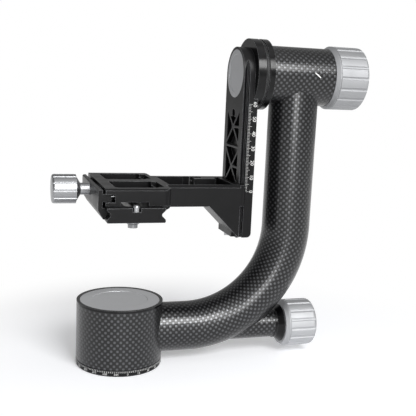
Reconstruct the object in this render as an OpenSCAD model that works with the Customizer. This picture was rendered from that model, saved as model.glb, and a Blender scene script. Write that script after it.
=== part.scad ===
// Carbon-fibre gimbal head for long lenses: panning base, curved side arm, swing arm with a sliding cradle,
// dovetail clamp and quick-release plate. Millimetres, +Z up on the pan axis, origin in the base's underside.
// +X runs along the tilt axis to the big knob, and -Y is the side with the height scale.

/* [Tripod base] */
// Diameter of the base and of the pan housing
base_d = 60; // [56:1:70]
// Height of the degree ring
ring_h = 4; // [3.5:0.1:6]
// Thread of the tripod socket, three eighths of an inch
socket_thread_d = 9.525; // [6:0.005:10]
// Depth of the tripod thread
socket_depth = 10; // [8:0.5:12]
// Diameter of the socket insert
socket_d = 16; // [14:0.5:18]
// Length of the socket insert
socket_l = 12; // [11.5:0.5:14]
// Diameter of the insert's flange
socket_flange_d = 21; // [19:0.5:24]
// Thickness of the insert's flange
socket_flange_t = 1.5; // [1:0.1:2]
// Number of base screws
base_screws_n = 4; // [3:1:6]
// Circle that the base screws stand on
base_screw_pcd = 34; // [30:1:38]
// Diameter of the base screws
base_screw_d = 4; // [3:0.5:5]
// Length of the base screws
base_screw_l = 6.4; // [5:0.1:6.6]
// Chamfer on the base's outer edges
edge_chamfer = 0.5; // [0.2:0.1:1]

/* [Pan unit] */
// Height of the pan unit's top face
pan_top_z = 45.7; // [45.2:0.1:50]
// Open seam between the degree ring and the shell
pan_seam = 0.6; // [0.3:0.1:1.2]
// Wall of the carbon shell
shell_t = 2.2; // [1.5:0.1:3]
// Height of the lip ring on top
lip_h = 1.8; // [1:0.1:3]
// Width of the lip ring
lip_w = 2.2; // [1.5:0.1:3]
// Thickness of the top cap
cap_t = 1.3; // [0.8:0.1:1.8]
// How far the top cap lies under the lip
cap_inset = 0.2; // [0.1:0.1:0.6]
// Diameter of the shallow circle in the top cap
cap_circle_d = 39; // [20:1:50]
// Depth of the shallow circle in the caps
cap_circle_depth = 0.3; // [0.2:0.1:0.5]
// Top of the metal housing inside the shell
housing_top_z = 41.6; // [41:0.1:42.4]
// Diameter of the pan spindle
spindle_d = 25; // [22:0.5:26]
// Diameter of the spindle's foot
spindle_foot_d = 46; // [42:1:48]
// Thickness of the spindle's foot
spindle_foot_t = 3; // [2:0.1:3.2]
// Top of the spindle
spindle_top_z = 35.5; // [35:0.1:36]
// Outer diameter of the pan bearings
pan_bearing_d = 37; // [35:0.5:38]
// Width of the pan bearings
pan_bearing_w = 7; // [6:0.5:7]
// Underside of the lower pan bearing
pan_lower_z = 8; // [7.8:0.1:8.4]
// Ball diameter of the pan bearings
pan_ball_d = 3.6; // [3:0.1:4]
// Balls in each pan bearing
pan_balls_n = 16; // [8:1:18]
// Diameter of the retaining washer
retainer_d = 29; // [27:0.5:31]
// Thickness of the retaining washer
retainer_t = 1.8; // [1:0.1:2]
// Diameter of the retaining screw
retainer_screw_d = 6; // [4:0.5:8]
// Length of the retaining screw
retainer_screw_l = 12; // [8:0.5:14]

/* [Curved arm] */
// Diameter of the curved carbon tube
j_d = 35; // [33:0.5:36]
// Wall of the curved carbon tube
j_t = 2.5; // [1.5:0.1:3]
// Height of the tube's axis where it leaves the pan unit
j_z = 23.6; // [23:0.1:24.5]
// Distance from the sleeve's flange end to the upright part of the tube
j_offset = 24.3; // [22:0.1:27]
// Radius of the bend, on the tube's axis
j_bend_r = 73.5; // [68:0.5:74]
// Length of the metal inserts in the tube's ends
j_insert_l = 24; // [18:1:24]

/* [Tilt unit] */
// Height of the tilt axis
tilt_z = 204.6; // [200:0.2:215]
// Diameter of the carbon sleeve
sleeve_d = 40.8; // [38:0.2:42]
// Wall of the carbon sleeve
sleeve_t = 2.2; // [1.5:0.1:3]
// Length of the sleeve
sleeve_l = 46.8; // [46:0.2:52]
// Diameter of the flanges between sleeve and swing arm
flange_d = 48.8; // [46:0.2:50]
// Thickness of the fixed flange ring
flange_ring_t = 4; // [3:0.1:4.2]
// Thickness of the turning flange
flange_t = 5.8; // [5:0.1:7]
// Room for the friction spacer between the two flanges
flange_gap = 2.5; // [2.2:0.1:4]
// How far the friction spacer's rim lies under the flanges
spacer_inset = 0.3; // [0.2:0.1:2]
// Thickness of the friction spacer's rim
spacer_rim_t = 1.4; // [1:0.1:1.8]
// How far the spacer's thicker middle lies under the flanges
spacer_hub_inset = 2.4; // [1:0.1:6]
// Diameter of the tilt shaft
shaft_d = 12; // [10:0.5:12]
// Outer diameter of the tilt bearings
tilt_bearing_d = 28; // [26:0.5:30]
// Width of the tilt bearings
tilt_bearing_w = 8; // [6:0.5:9]
// Ball diameter of the tilt bearings
tilt_ball_d = 4.4; // [3.6:0.1:4.6]
// Balls in each tilt bearing
tilt_balls_n = 10; // [6:1:11]
// Diameter of the neck inside the tilt knob
neck_d = 26; // [24:0.5:28]
// Length of the neck inside the tilt knob
neck_l = 9; // [7:0.5:10]
// Length of the friction collet
collet_l = 7; // [5:0.5:8]

/* [Knobs] */
// Diameter of the tilt knob
tilt_knob_d = 44.8; // [40:0.2:46]
// Length of the tilt knob
tilt_knob_l = 25; // [24:0.5:30]
// Diameter of the pan lock knob
pan_knob_d = 34.6; // [32:0.2:38]
// Length of the pan lock knob
pan_knob_l = 24.7; // [20:0.1:28]
// Diameter of the clamp knob
clamp_knob_d = 19.6; // [16:0.2:22]
// Length of the clamp knob's fluted body
clamp_knob_l = 15.8; // [12:0.2:20]
// Diameter of the height lock knob
height_knob_d = 14; // [12:0.2:15]
// Length of the height lock knob
height_knob_l = 12; // [9:0.5:14]
// Flutes round the tilt knob, the pan lock knob, the clamp knob and the height lock knob
flutes_n = [18, 16, 12, 12];
// Radius of the flutes on the two big knobs
flute_r = 1.4; // [1:0.1:3]
// Radius of the flutes on the two small knobs
small_flute_r = 0.8; // [0.7:0.1:1.6]
// Depth of the flutes on the two big knobs
flute_depth = 0.7; // [0.5:0.1:1.6]
// Depth of the flutes on the two small knobs
small_flute_depth = 0.5; // [0.4:0.1:1.2]
// Length of the cone on the inner end of the big knobs
knob_cone_l = 2.6; // [1.5:0.1:3]
// Rounding of the tilt knob's outer end
tilt_knob_round = 1.6; // [1:0.1:3]
// Rounding of the pan lock knob's outer end
pan_knob_round = 3.4; // [1:0.1:4]
// Rounding of the outer end of the small knobs
small_knob_round = 1.6; // [0.8:0.1:2]
// Thickness of the inset discs in the big knobs
knob_disc_t = 1.6; // [1:0.1:2.5]

/* [Pan lock] */
// Height of the pan lock's axis
lock_z = 21.6; // [21:0.1:22.4]
// Diameter of the small carbon tube
lock_tube_d = 20.4; // [18:0.2:22]
// Wall of the small carbon tube
lock_tube_t = 2; // [1.4:0.1:2.4]
// How far the small tube stands out past the curved arm
lock_tube_land = 2.7; // [2:0.1:6]
// Length of the black collar
lock_collar_l = 6.4; // [5:0.1:8]
// Diameter of the collar's wide end
lock_collar_d = 27.4; // [24:0.2:28]
// Diameter of the lock rod
lock_rod_d = 8; // [6:0.5:8]
// Diameter of the brake shoe
shoe_d = 9; // [8:0.2:9.6]

/* [Swing arm] */
// Distance from the pan axis to the arm's outer face
arm_x0 = 77.4; // [76:0.2:79]
// Thickness of the arm
arm_t = 10.75; // [10:0.05:11.5]
// Width of the arm and of its round head
arm_w = 36.6; // [35:0.2:38]
// Lower end of the arm
arm_z0 = 91.6; // [90:0.2:96]
// How deep the flange sits in the arm's head
arm_head_step = 2.55; // [2:0.05:3]
// Depth of the dovetail grooves
groove_depth = 2.3; // [1.8:0.1:2.6]
// Land outside the dovetail grooves
groove_land = 0.6; // [0.4:0.1:1]
// Far side of the dovetail grooves, from the outer face
groove_end = 4.2; // [3.8:0.1:4.6]
// Diameter of the grey cap in the arm's head
arm_cap_d = 32.8; // [30:0.2:33.4]
// Thickness of the grey cap
arm_cap_t = 1.6; // [1:0.1:2]
// Diameter of the shallow circle in the grey cap
arm_cap_circle_d = 26.4; // [20:0.2:30]
// Rounding of the arm's lower inner corner
arm_corner_r = 3; // [1:0.5:4]
// Depth of the lightening pockets
truss_depth = 3.5; // [2:0.5:6]
// Half width of the lightening pockets
truss_hw = 12.6; // [10:0.2:12.8]
// Width of the slanted ribs
truss_rib = 1.6; // [1.2:0.1:2]
// Height of one cross of ribs
truss_pitch = 28; // [24:0.5:30]
// Height of the rib between the two upper crosses
truss_z = 154; // [150:0.5:158]
// Diameter of the round pocket under the cap
truss_hole_d = 6; // [4:0.2:6.4]

/* [Cradle] */
// Top of the cradle
cradle_top_z = 129.4; // [128:0.1:131]
// Height of the cradle arm
cradle_h = 14.6; // [14:0.1:16]
// Width of the cradle arm
cradle_w = 48; // [46:0.5:50]
// Wall of the cradle arm
cradle_wall = 3; // [2:0.1:4]
// Left end of the platform
plat_x0 = -18; // [-20:0.2:-17]
// Right end of the platform
plat_x1 = 24.6; // [24:0.2:28]
// Length of the platform across the arm
plat_l = 82; // [78:1:90]
// Thickness of the platform
plat_h = 11.1; // [10.8:0.1:11.6]
// Rounding of the platform's corners next to the arm
plat_corner_r = 4.6; // [2:0.2:6]
// Chamfer along the platform's and arm's long top edges
plat_chamfer = 1.2; // [0.6:0.1:1.6]
// Width of the rib between the two windows
window_rib = 10; // [9:0.5:14]
// Left border of the windows
window_left = 7; // [6.8:0.1:10]
// Right border of the windows
window_right = 3; // [2:0.2:5]
// Border of the windows at the platform's two ends
window_end = 5.6; // [5.2:0.1:8]
// Rounding of the windows' corners
window_r = 3; // [1:0.5:4]
// Width of the channel for the plate's stop screws
channel_w = 18; // [12:1:20]
// Depth of the channel
channel_h = 2.6; // [2.2:0.1:3]
// Length of the channel from each end
channel_l = 23; // [15:1:30]
// Gusset: how far it reaches from the swing arm
gusset_l = 21.8; // [18:0.2:28]
// Rear face of the gusset, from the tilt unit's centre plane
gusset_y1 = 9.8; // [6:0.2:9.8]
// Wall of the gusset
gusset_wall = 3.2; // [2:0.1:4]
// Lower end of the cradle
cradle_z0 = 92.5; // [92:0.1:97]
// Thickness of the plate that faces the swing arm
back_t = 3.7; // [3:0.1:5]
// Rounding of the jaws that grip the swing arm
jaw_round = 4; // [2:0.2:5]
// End of the trough's rear wall, from the pan axis
rear_wall_x1 = 48; // [44:0.5:50]
// Gap between the trough's rear wall and the height jaw
rear_gap = 5.6; // [4:0.2:8]
// Thickness of the thin wall that closes that gap at the back
gap_wall = 1.2; // [1:0.1:2]
// Distance from the swing arm to the height lock's axis
height_out = 12.9; // [12:0.1:15]
// Distance from the cradle's top down to the height lock's axis
height_down = 8.8; // [8:0.1:9]
// Diameter of the height lock's stud
height_stud_d = 5; // [4:0.1:5]
// Diameter of the round recess in the rear jaw's top
jaw_recess_d = 8.8; // [7:0.2:9.6]
// Depth of that recess
jaw_recess_depth = 3; // [1:0.5:4]
// Diameter of the stop screw's head under the cradle
stop_head_d = 3.2; // [2.6:0.1:3.6]
// Height of the stop screw's head
stop_head_h = 1.9; // [1:0.1:3]
// Length of the stop screw's shank
stop_shank_l = 6; // [4:0.5:8]
// Place of the stop screw along the width
stop_y = -3; // [-10:0.5:6]

/* [Clamp] */
// Outer face of the moving jaw
jaw_x0 = -22.4; // [-24:0.2:-22]
// Top of the moving jaw
jaw_top_z = 128.4; // [127:0.1:129]
// Length of the moving jaw
jaw_l = 77; // [70:1:80]
// Gap between the moving jaw and the platform
jaw_gap = 1.6; // [1:0.1:2]
// Height where the jaw's slanted lower face begins
jaw_slant_z = 115.2; // [113:0.1:117]
// Lowest edge of the moving jaw
jaw_z0 = 109.6; // [109:0.1:110.4]
// Width of the jaw's two guide tongues
tongue_w = 9; // [6:0.5:10]
// How far the tongues reach into the platform
tongue_l = 3.9; // [3:0.1:4.2]
// Height of the tongues
tongue_h = 4.9; // [4:0.1:5.2]
// Underside of the tongues' pockets
tongue_z = 120.8; // [120.6:0.1:121.5]
// Depth of the tongues' pockets in the platform
pocket_l = 6; // [5.6:0.1:6.2]
// Diameter of the guide pins
guide_d = 1.6; // [1.4:0.1:1.8]
// Length of the guide pins
guide_l = 11.5; // [11:0.5:16]
// Wall that the jaw keeps in front of the guide pins and beside them
guide_skin = 0.8; // [0.6:0.1:1]
// Height of the clamp's axis
clamp_z = 123.5; // [123:0.1:124]
// Diameter of the clamp's silver neck
clamp_neck_d = 8; // [7:0.1:9]
// Length of the clamp's silver neck
clamp_neck_l = 6.5; // [5:0.1:8]
// Diameter of the clamp's threaded spindle
clamp_thread_d = 6; // [5:0.1:6.4]
// How far the spindle reaches into the platform
clamp_thread_l = 28; // [20:1:30]
// Length of the cone between the clamp knob and the neck
clamp_cone_l = 3; // [2:0.2:4]

/* [Quick-release plate] */
// Middle of the plate, from the pan axis
plate_x = 0.6; // [0:0.1:1.2]
// Width of the plate over its dovetail
plate_w = 37.4; // [37:0.1:38]
// Length of the plate
plate_l = 95; // [90:1:100]
// Thickness of the plate
plate_h = 9.3; // [9:0.1:10]
// Land above the dovetail groove
plate_land = 1.3; // [1:0.1:1.6]
// Depth of the dovetail groove
plate_groove = 2.4; // [2:0.1:2.6]
// Flat at the bottom of the dovetail groove
plate_groove_flat = 1.2; // [0.8:0.1:1.6]
// Width of the slot for the camera screw
slot_w = 6.8; // [6.6:0.1:7]
// From the plate's end to the centre of the slot's round end
slot_end = 12.5; // [10:0.5:16]
// Width of the slot's step for the screw's head
slot_step_w = 12.6; // [12.4:0.1:14]
// Depth of the step
slot_step_h = 4.4; // [4:0.1:5]
// Thread of the camera screw, a quarter of an inch
camera_thread_d = 6.35; // [6:0.01:6.4]
// How far the camera screw stands out of the plate
camera_out = 5.2; // [4.6:0.1:8]
// Diameter of the camera screw's smooth shank in the slot
camera_shank_d = 5.6; // [5:0.1:5.8]
// Diameter of the camera screw's head
camera_head_d = 11.6; // [10:0.2:12]
// Height of the camera screw's head
camera_head_h = 2.6; // [2:0.1:3]
// Diameter of the bevelled steel collar under the plate that keeps the camera screw in its slot
camera_ring_d = 8.8; // [8:0.1:9]
// Height of that collar
camera_ring_t = 2.8; // [2:0.1:3.8]
// Bevel round the collar's lower edge
camera_ring_bevel = 0.9; // [0.3:0.1:1.2]
// Diameter of the stop screws' domed heads
dome_d = 5; // [4:0.1:5.6]
// Height of the domed heads
dome_h = 4.4; // [3.6:0.1:5]
// How far the domed heads stand above the plate
dome_out = 2; // [1.2:0.1:2.2]
// Distance from the plate's end to the stop screws
dome_edge = 2.6; // [2:0.1:4]
// Width of the rubber strips
strip_w = 8; // [6:0.5:9]
// Thickness of the rubber strips
strip_t = 1.4; // [1:0.1:2]
// How far the rubber strips stand out
strip_out = 0.4; // [0.2:0.1:0.8]

/* [Hidden] */
$fn = 96;
// Overrun of every cut
eps = 1;
// Gap in bonded and pressed joints
bond = 0.02;
// Radial clearance of running fits
run = 0.05;
// Clearance of sliding fits
glide = 0.15;
// Clearance beside screw heads and in dead ends
loose = 0.3;
// Chamfers on small parts
small_chamfer = 0.4;
// Small cap screws: thread, head and head height
screw_d = 3;
screw_head_d = 5.2;
screw_head_h = 2.8;
// Side shift of a face at 45 degrees that keeps a clearance
slant = glide * (sqrt(2) - 1);

// Pan unit
base_r = base_d / 2;
spindle_r = spindle_d / 2;
shell_z0 = ring_h + pan_seam;
core_r = base_r - shell_t - bond;
lip_z0 = pan_top_z - lip_h;
cap_z0 = pan_top_z - cap_inset - cap_t;
foot_top_z = ring_h + spindle_foot_t;
pan_upper_z = spindle_top_z - pan_bearing_w;
pan_pitch_r = (spindle_r + pan_bearing_d / 2) / 2;
// Share of the bearing's height in section that each race takes
race_share = 0.34;
pan_race_t = (pan_bearing_d / 2 - spindle_r) * race_share;
pan_mid_r = pan_bearing_d / 2 - pan_race_t;
retainer_z = spindle_top_z + retainer_t;

// Places along the tilt axis, from the swing arm outwards
arm_x1 = arm_x0 + arm_t;
flange_x0 = arm_x1 - arm_head_step;
flange_x1 = flange_x0 + flange_t;
ring_x0 = flange_x1 + flange_gap;
sleeve_x0 = ring_x0 + flange_ring_t;
sleeve_x1 = sleeve_x0 + sleeve_l;
sleeve_r = sleeve_d / 2;
tilt_core_r = sleeve_r - sleeve_t - bond;
tilt_bearing_r = tilt_bearing_d / 2;
tilt_pitch_r = (shaft_d / 2 + tilt_bearing_r) / 2;
tilt_race_t = (tilt_bearing_r - shaft_d / 2) * race_share * 0.9;
tilt_left_x = ring_x0 + flange_ring_t / 2;
tilt_right_x = sleeve_x1 - tilt_bearing_w - tilt_race_t;
neck_x1 = sleeve_x1 + neck_l;
collet_x0 = neck_x1 - collet_l + eps;
tilt_knob_x0 = sleeve_x1 + loose;
tilt_knob_in_x = neck_x1 + eps + loose;

// Curved arm and pan lock
j_r = j_d / 2;
j_ri = j_r - j_t;
j_x = sleeve_x0 + j_offset;
bend_x = j_x - j_bend_r;
bend_z = j_z + j_bend_r;
arm_root_x = pan_bearing_d / 2 + j_t + eps;
lock_tube_r = lock_tube_d / 2;
lock_rod_r = lock_rod_d / 2;
lock_tube_x1 = bend_x + lock_tube_land
    + sqrt(pow(j_bend_r + j_r, 2) - pow(bend_z - lock_z - lock_tube_r, 2));
pan_knob_x0 = lock_tube_x1 + lock_collar_l + glide;
shoe_travel = 0.5;
shoe_gap = shoe_travel + run * 2;
shoe_x1 = arm_root_x - j_t - shoe_travel / 2;
root_seat_x = arm_root_x - j_t - eps;
root_y = (shoe_d + screw_head_d) / 2 + screw_d;
saddle_pitch = j_ri - screw_head_d * 3 / 2;
saddle_seat_z = tilt_z - tilt_bearing_r - screw_head_h * 0.9;

// Swing arm
arm_hw = arm_w / 2;
groove_hw = arm_hw - groove_depth;
arm_bore_x = arm_x0 + arm_cap_t;
arm_seat_x = arm_bore_x + loose + screw_head_h;
flange_screw_r = shaft_d / 2 + screw_head_d;
truss_bar = truss_rib * 0.85;
truss_slope_share = 0.92;
truss_v = truss_rib / 2 * sqrt(1 + pow(truss_slope_share, 2));

// Cradle
cradle_x1 = arm_x0 - loose;
cradle_hw = cradle_w / 2;
arm_low_z = cradle_top_z - cradle_h;
plat_low_z = cradle_top_z - plat_h;
back_x0 = cradle_x1 - back_t;
trough_z = arm_low_z + cradle_wall;
trough_x0 = plat_x1 + cradle_wall;
hook_x1 = arm_x0 + groove_end - glide;
back_y1 = arm_hw - groove_depth;
height_jaw_x0 = rear_wall_x1 + rear_gap;
height_x = arm_x0 - height_out;
height_z = cradle_top_z - height_down;
height_jaw_x1 = height_x + height_stud_d;
height_jaw_y0 = arm_hw - height_knob_d / 2 - eps;
plat_hl = plat_l / 2;
ledge_t = 1.2;
ledge_w = 2.4;
ledge_d = plat_h / 2;

// Clamp and plate
jaw_x1 = plat_x0 - jaw_gap;
clamp_neck_x0 = jaw_x0 - clamp_neck_l;
clamp_knob_x1 = clamp_neck_x0 - clamp_cone_l;
plate_hw = plate_w / 2;
plate_top_z = plat_low_z - loose;
plate_z0 = plate_top_z - plate_h;
flank_z1 = plate_top_z - plate_land;
flank_z0 = flank_z1 - plate_groove * 2 - plate_groove_flat;
tongue_y0 = jaw_l / 2 - tongue_w;
guide_y = jaw_l / 2 - guide_skin - guide_d / 2;
guide_z = tongue_z + tongue_h / 2 + guide_d / 2;
guide_x1 = plat_x0 + guide_l;
dome_y = plate_l / 2 - dome_edge;
slot_step_z = plate_top_z - slot_step_h;
slot_l = plate_l - slot_end * 2;
camera_y = -slot_l / 2;
camera_ring_z = plate_z0 - glide - camera_ring_t;

// Turns children that stand on Z so that they lie along the X axis from a point.
module along_x(x = 0, y = 0, z = 0) {
    translate([x, y, z]) rotate([0, 90, 0]) children();
}

// Turns children that stand on Z so that they lie along the Y axis from a point.
module along_y(x = 0, y = 0, z = 0) {
    translate([x, y, z]) rotate([-90, 0, 0]) children();
}

// Rod between two heights.
module rod(r, z0, z1) {
    translate([0, 0, z0]) cylinder(r = r, h = z1 - z0);
}

// Tube between two heights.
module tube(r, ri, z0, z1) {
    difference() {
        rod(r, z0, z1);
        rod(ri, z0 - eps, z1 + eps);
    }
}

// Block between two corners.
module block(lo, hi) {
    translate(lo) cube(hi - lo);
}

// Outline in X and Z, drawn out along Y.
module across(points, y0, y1) {
    translate([0, y1, 0]) rotate([90, 0, 0]) linear_extrude(y1 - y0) polygon(points);
}

// Cap screw on Z: its head stands above the seat at zero and its thread goes down.
module cap_screw(l) {
    rod(screw_d / 2, -l, 0);
    difference() {
        rod(screw_head_d / 2, 0, screw_head_h);
        translate([0, 0, screw_head_h / 2]) cylinder(d = screw_d * 0.9, h = screw_head_h, $fn = 6);
    }
}

// Room for a cap screw: its counterbore and its thread.
module cap_screw_room(l, up) {
    rod(screw_d / 2 + bond, -l - loose, eps);
    if (up > 0) rod(screw_head_d / 2 + loose, 0, up);
}

// Turned body with one rounded end.
module rounded_rod(r, l, rnd) {
    rotate_extrude() intersection() {
        square([r, l]);
        union() {
            square([r - rnd, l]);
            square([r, l - rnd]);
            translate([r - rnd, l - rnd]) circle(rnd);
        }
    }
}

// Flutes round a knob on Z.
module flutes(r, z0, z1, n, cut_r, depth) {
    for (i = [0:n - 1])
        rotate(i * 360 / n - 90) translate([r + cut_r - depth, 0, z0])
            cylinder(r = cut_r, h = z1 - z0, $fn = 32);
}

// Big knob on Z: a cone, a thin turned groove and the fluted grip.
module big_knob(d, l, n, rnd) {
    r = d / 2;
    grip_z = knob_cone_l + small_chamfer;
    difference() {
        union() {
            cylinder(r1 = r - knob_cone_l * 0.7, r2 = r, h = knob_cone_l);
            translate([0, 0, knob_cone_l]) rounded_rod(r, l - knob_cone_l, rnd);
        }
        tube(r + eps, r - small_chamfer, grip_z, grip_z + small_chamfer);
        flutes(r, grip_z + small_chamfer * 2, l + eps, n, flute_r, flute_depth);
    }
}

// Small knob on Z: a fluted grip with one rounded end.
module small_knob(d, l, n) {
    difference() {
        rounded_rod(d / 2, l, small_knob_round);
        flutes(d / 2, -eps, l + eps, n, small_flute_r, small_flute_depth);
    }
}

// Race on Z with the groove for its balls.
module race(ri, ro, pitch_r, w, ball_d) {
    rotate_extrude() difference() {
        translate([ri, 0]) square([ro - ri, w]);
        translate([pitch_r, w / 2]) circle(ball_d / 2 + run);
    }
}

// Ring of balls on Z.
module balls(n, pitch_r, w, ball_d) {
    for (i = [0:n - 1]) rotate(i * 360 / n) translate([pitch_r, 0, w / 2]) sphere(d = ball_d, $fn = 32);
}

// The curved arm's path as a solid rod, or as a tube where an inner radius is given.
module bent(r, ri = 0, x0 = 0) {
    module section() {
        difference() {
            circle(r);
            if (ri > 0) circle(ri);
        }
    }
    along_x(x0, 0, j_z) linear_extrude(bend_x - x0) section();
    translate([bend_x, 0, bend_z]) rotate([-90, 0, 0])
        rotate_extrude(angle = 90) translate([j_bend_r, 0]) section();
    translate([j_x, 0, bend_z]) linear_extrude(tilt_z - bend_z) section();
}

// The dovetail side of the swing arm in X and Y, cut to the wanted clearance: the space beside the arm.
module jaw_outline(y1) {
    difference() {
        polygon([[cradle_x1 - eps, arm_hw + glide], [arm_x0 + groove_land + slant, arm_hw + glide],
            [arm_x0 + groove_land + groove_depth + slant, groove_hw + glide],
            [hook_x1, groove_hw + glide], [hook_x1, y1], [cradle_x1 - eps, y1]]);
        translate([hook_x1 - jaw_round, y1 - jaw_round]) difference() {
            square(jaw_round + eps);
            circle(jaw_round);
        }
    }
}

// Outline of a tongue in one groove of the plate, in X outwards from the plate's middle and in Z.
function tongue_points(out) = [[out, flank_z1 - slant], [plate_hw + glide, flank_z1 - slant],
    [plate_hw - plate_groove + glide, flank_z1 - plate_groove - slant],
    [plate_hw - plate_groove + glide, flank_z0 + plate_groove + slant],
    [plate_hw + glide, flank_z0 + slant]];

module base_plate() color("#1c1d1f") difference() {
    union() {
        translate([0, 0, edge_chamfer]) cylinder(r = base_r, h = ring_h - edge_chamfer);
        cylinder(r1 = base_r - edge_chamfer, r2 = base_r, h = edge_chamfer);
    }
    rod(socket_d / 2 + bond, -eps, ring_h + eps);
    rod(socket_flange_d / 2 + bond, -eps, socket_flange_t + bond);
    base_screw_places() {
        rod(base_screw_d / 2 + bond, -eps, ring_h + eps);
        rod(base_screw_d + loose / 2, -eps, loose);
        translate([0, 0, loose])
            cylinder(r1 = base_screw_d + bond, r2 = base_screw_d / 2 + bond, h = base_screw_d / 2);
    }
}

module base_screw_places() {
    for (i = [0:base_screws_n - 1])
        rotate((i + 1 / 2) * 360 / base_screws_n) translate([base_screw_pcd / 2, 0, 0]) children();
}

module tripod_socket() color("#b9bbbd") difference() {
    union() {
        rod(socket_d / 2, 0, socket_l);
        rod(socket_flange_d / 2, 0, socket_flange_t);
    }
    rod(socket_thread_d / 2, -eps, socket_depth);
}

module base_screws() color("#6d7073") base_screw_places() difference() {
    union() {
        rod(base_screw_d / 2, loose, base_screw_l);
        translate([0, 0, loose]) cylinder(r1 = base_screw_d, r2 = base_screw_d / 2, h = base_screw_d / 2);
    }
    translate([0, 0, -eps]) cylinder(d = base_screw_d * 0.7, h = base_screw_d / 3 + eps, $fn = 6);
}

module pan_spindle() color("#a9abad") difference() {
    union() {
        rod(spindle_foot_d / 2, ring_h, foot_top_z);
        rod(spindle_r + pan_race_t, ring_h, pan_lower_z);
        rod(spindle_r, ring_h, spindle_top_z);
    }
    rod(socket_d / 2 + bond, ring_h - eps, socket_l + loose);
    base_screw_places() rod(base_screw_d / 2 + bond, ring_h - eps, base_screw_l + loose);
    rod(retainer_screw_d / 2 + bond, retainer_z - retainer_screw_l - loose, spindle_top_z + eps);
}

module pan_bearing_inner_races() color("#c6c8ca") for (z = [pan_lower_z, pan_upper_z])
    translate([0, 0, z])
        race(spindle_r + bond, spindle_r + pan_race_t, pan_pitch_r, pan_bearing_w, pan_ball_d);

module pan_bearing_outer_races() color("#c6c8ca") for (z = [pan_lower_z, pan_upper_z])
    translate([0, 0, z])
        race(pan_mid_r, pan_bearing_d / 2, pan_pitch_r, pan_bearing_w, pan_ball_d);

module pan_bearing_balls() color("#e4e6e8") for (z = [pan_lower_z, pan_upper_z])
    translate([0, 0, z]) balls(pan_balls_n, pan_pitch_r, pan_bearing_w, pan_ball_d);

module pan_retainer() color("#8d9093")
    tube(retainer_d / 2, retainer_screw_d / 2 + bond, spindle_top_z, retainer_z);

module pan_retainer_screw() color("#6d7073") translate([0, 0, retainer_z]) difference() {
    union() {
        rod(retainer_screw_d / 2, -retainer_screw_l, 0);
        rod(retainer_screw_d * 0.8, 0, retainer_screw_d / 2);
    }
    translate([0, 0, eps / 2]) cylinder(d = retainer_screw_d * 0.7, h = retainer_screw_d / 2, $fn = 6);
}

module pan_shell() color("#2a2b2e") difference() {
    tube(base_r, base_r - shell_t, shell_z0, lip_z0);
    along_x(0, 0, j_z) rod(j_r + bond, 0, base_d);
}

module pan_housing() color("#7c7f82") difference() {
    rod(core_r, shell_z0, housing_top_z);
    rod(spindle_foot_d / 2 + loose, 0, foot_top_z + loose);
    rod(pan_bearing_d / 2 + bond, 0, pan_lower_z + pan_bearing_w);
    rod(pan_mid_r, 0, housing_top_z + eps);
    rod(pan_bearing_d / 2 + bond, pan_upper_z, housing_top_z + eps);
    along_x(0, 0, j_z) rod(j_ri, arm_root_x, base_d);
    along_x(0, 0, lock_z) rod(lock_rod_r + run, 0, base_d);
    along_x(0, 0, lock_z) rod(shoe_d / 2 + run, 0, shoe_x1 + shoe_travel);
    root_screw_places() cap_screw_room(arm_root_x, root_seat_x - pan_mid_r / 2);
}

module root_screw_places() {
    for (side = [-1, 1]) translate([root_seat_x, side * root_y, j_z]) rotate([0, -90, 0]) children();
}

module pan_top_ring() color("#151618") {
    tube(core_r, pan_bearing_d / 2 + pan_race_t, housing_top_z, cap_z0);
    tube(base_r, pan_bearing_d / 2 + pan_race_t, lip_z0, cap_z0);
    tube(base_r, base_r - lip_w, lip_z0, pan_top_z);
}

module pan_cap() color("#5d5f61") difference() {
    rod(base_r - lip_w - loose / 2, cap_z0, cap_z0 + cap_t);
    rod(cap_circle_d / 2, cap_z0 + cap_t - cap_circle_depth, pan_top_z);
}

module arm_lower_insert() color("#8f9194") difference() {
    along_x(0, 0, j_z) rod(j_ri - bond, arm_root_x, arm_root_x + j_insert_l);
    along_x(0, 0, lock_z) rod(lock_rod_r + run, 0, base_d);
    root_screw_places() cap_screw_room(j_insert_l / 2, 0);
}

module arm_root_screws() color("#4c4e50") root_screw_places() cap_screw(j_insert_l / 2);

module curved_arm() color("#2a2b2e") difference() {
    bent(j_r, j_ri);
    rod(core_r + bond, 0, base_d);
    along_x(0, 0, lock_z) rod(lock_rod_r + loose, bend_x, j_x);
    along_x(0, 0, tilt_z) rod(sleeve_r + bond, sleeve_x0, sleeve_x1);
}

module arm_upper_insert() color("#8f9194") difference() {
    translate([j_x, 0, 0]) rod(j_ri - bond, tilt_z - sleeve_r - j_insert_l, tilt_z);
    along_x(0, 0, tilt_z) rod(sleeve_r + bond, sleeve_x0, sleeve_x1);
    saddle_screw_places() cap_screw_room(j_insert_l * 2 / 3, 0);
}

module saddle_screw_places() {
    for (side = [-1, 1]) translate([j_x + side * saddle_pitch, 0, saddle_seat_z]) children();
}

module saddle_screws() color("#4c4e50") saddle_screw_places() cap_screw(j_insert_l * 2 / 3);

module pan_lock_tube() color("#2a2b2e") difference() {
    along_x(0, 0, lock_z) tube(lock_tube_r, lock_tube_r - lock_tube_t, bend_x + j_r, lock_tube_x1);
    bent(j_r + bond);
}

module pan_lock_collar() color("#151618") difference() {
    along_x(lock_tube_x1, 0, lock_z) {
        rod(lock_tube_r - lock_tube_t - bond, -lock_tube_land, 0);
        rod(lock_tube_r + small_chamfer, 0, lock_collar_l / 3);
        translate([0, 0, lock_collar_l / 3])
            cylinder(r1 = lock_tube_r + small_chamfer, r2 = lock_collar_d / 2, h = lock_collar_l * 2 / 3);
    }
    along_x(0, 0, lock_z) rod(lock_rod_r + run, 0, pan_knob_x0);
}

module pan_lock_rod() color("#9a9c9e") along_x(0, 0, lock_z)
    rod(lock_rod_r, shoe_x1, pan_knob_x0 + pan_knob_l / 2);

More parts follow.
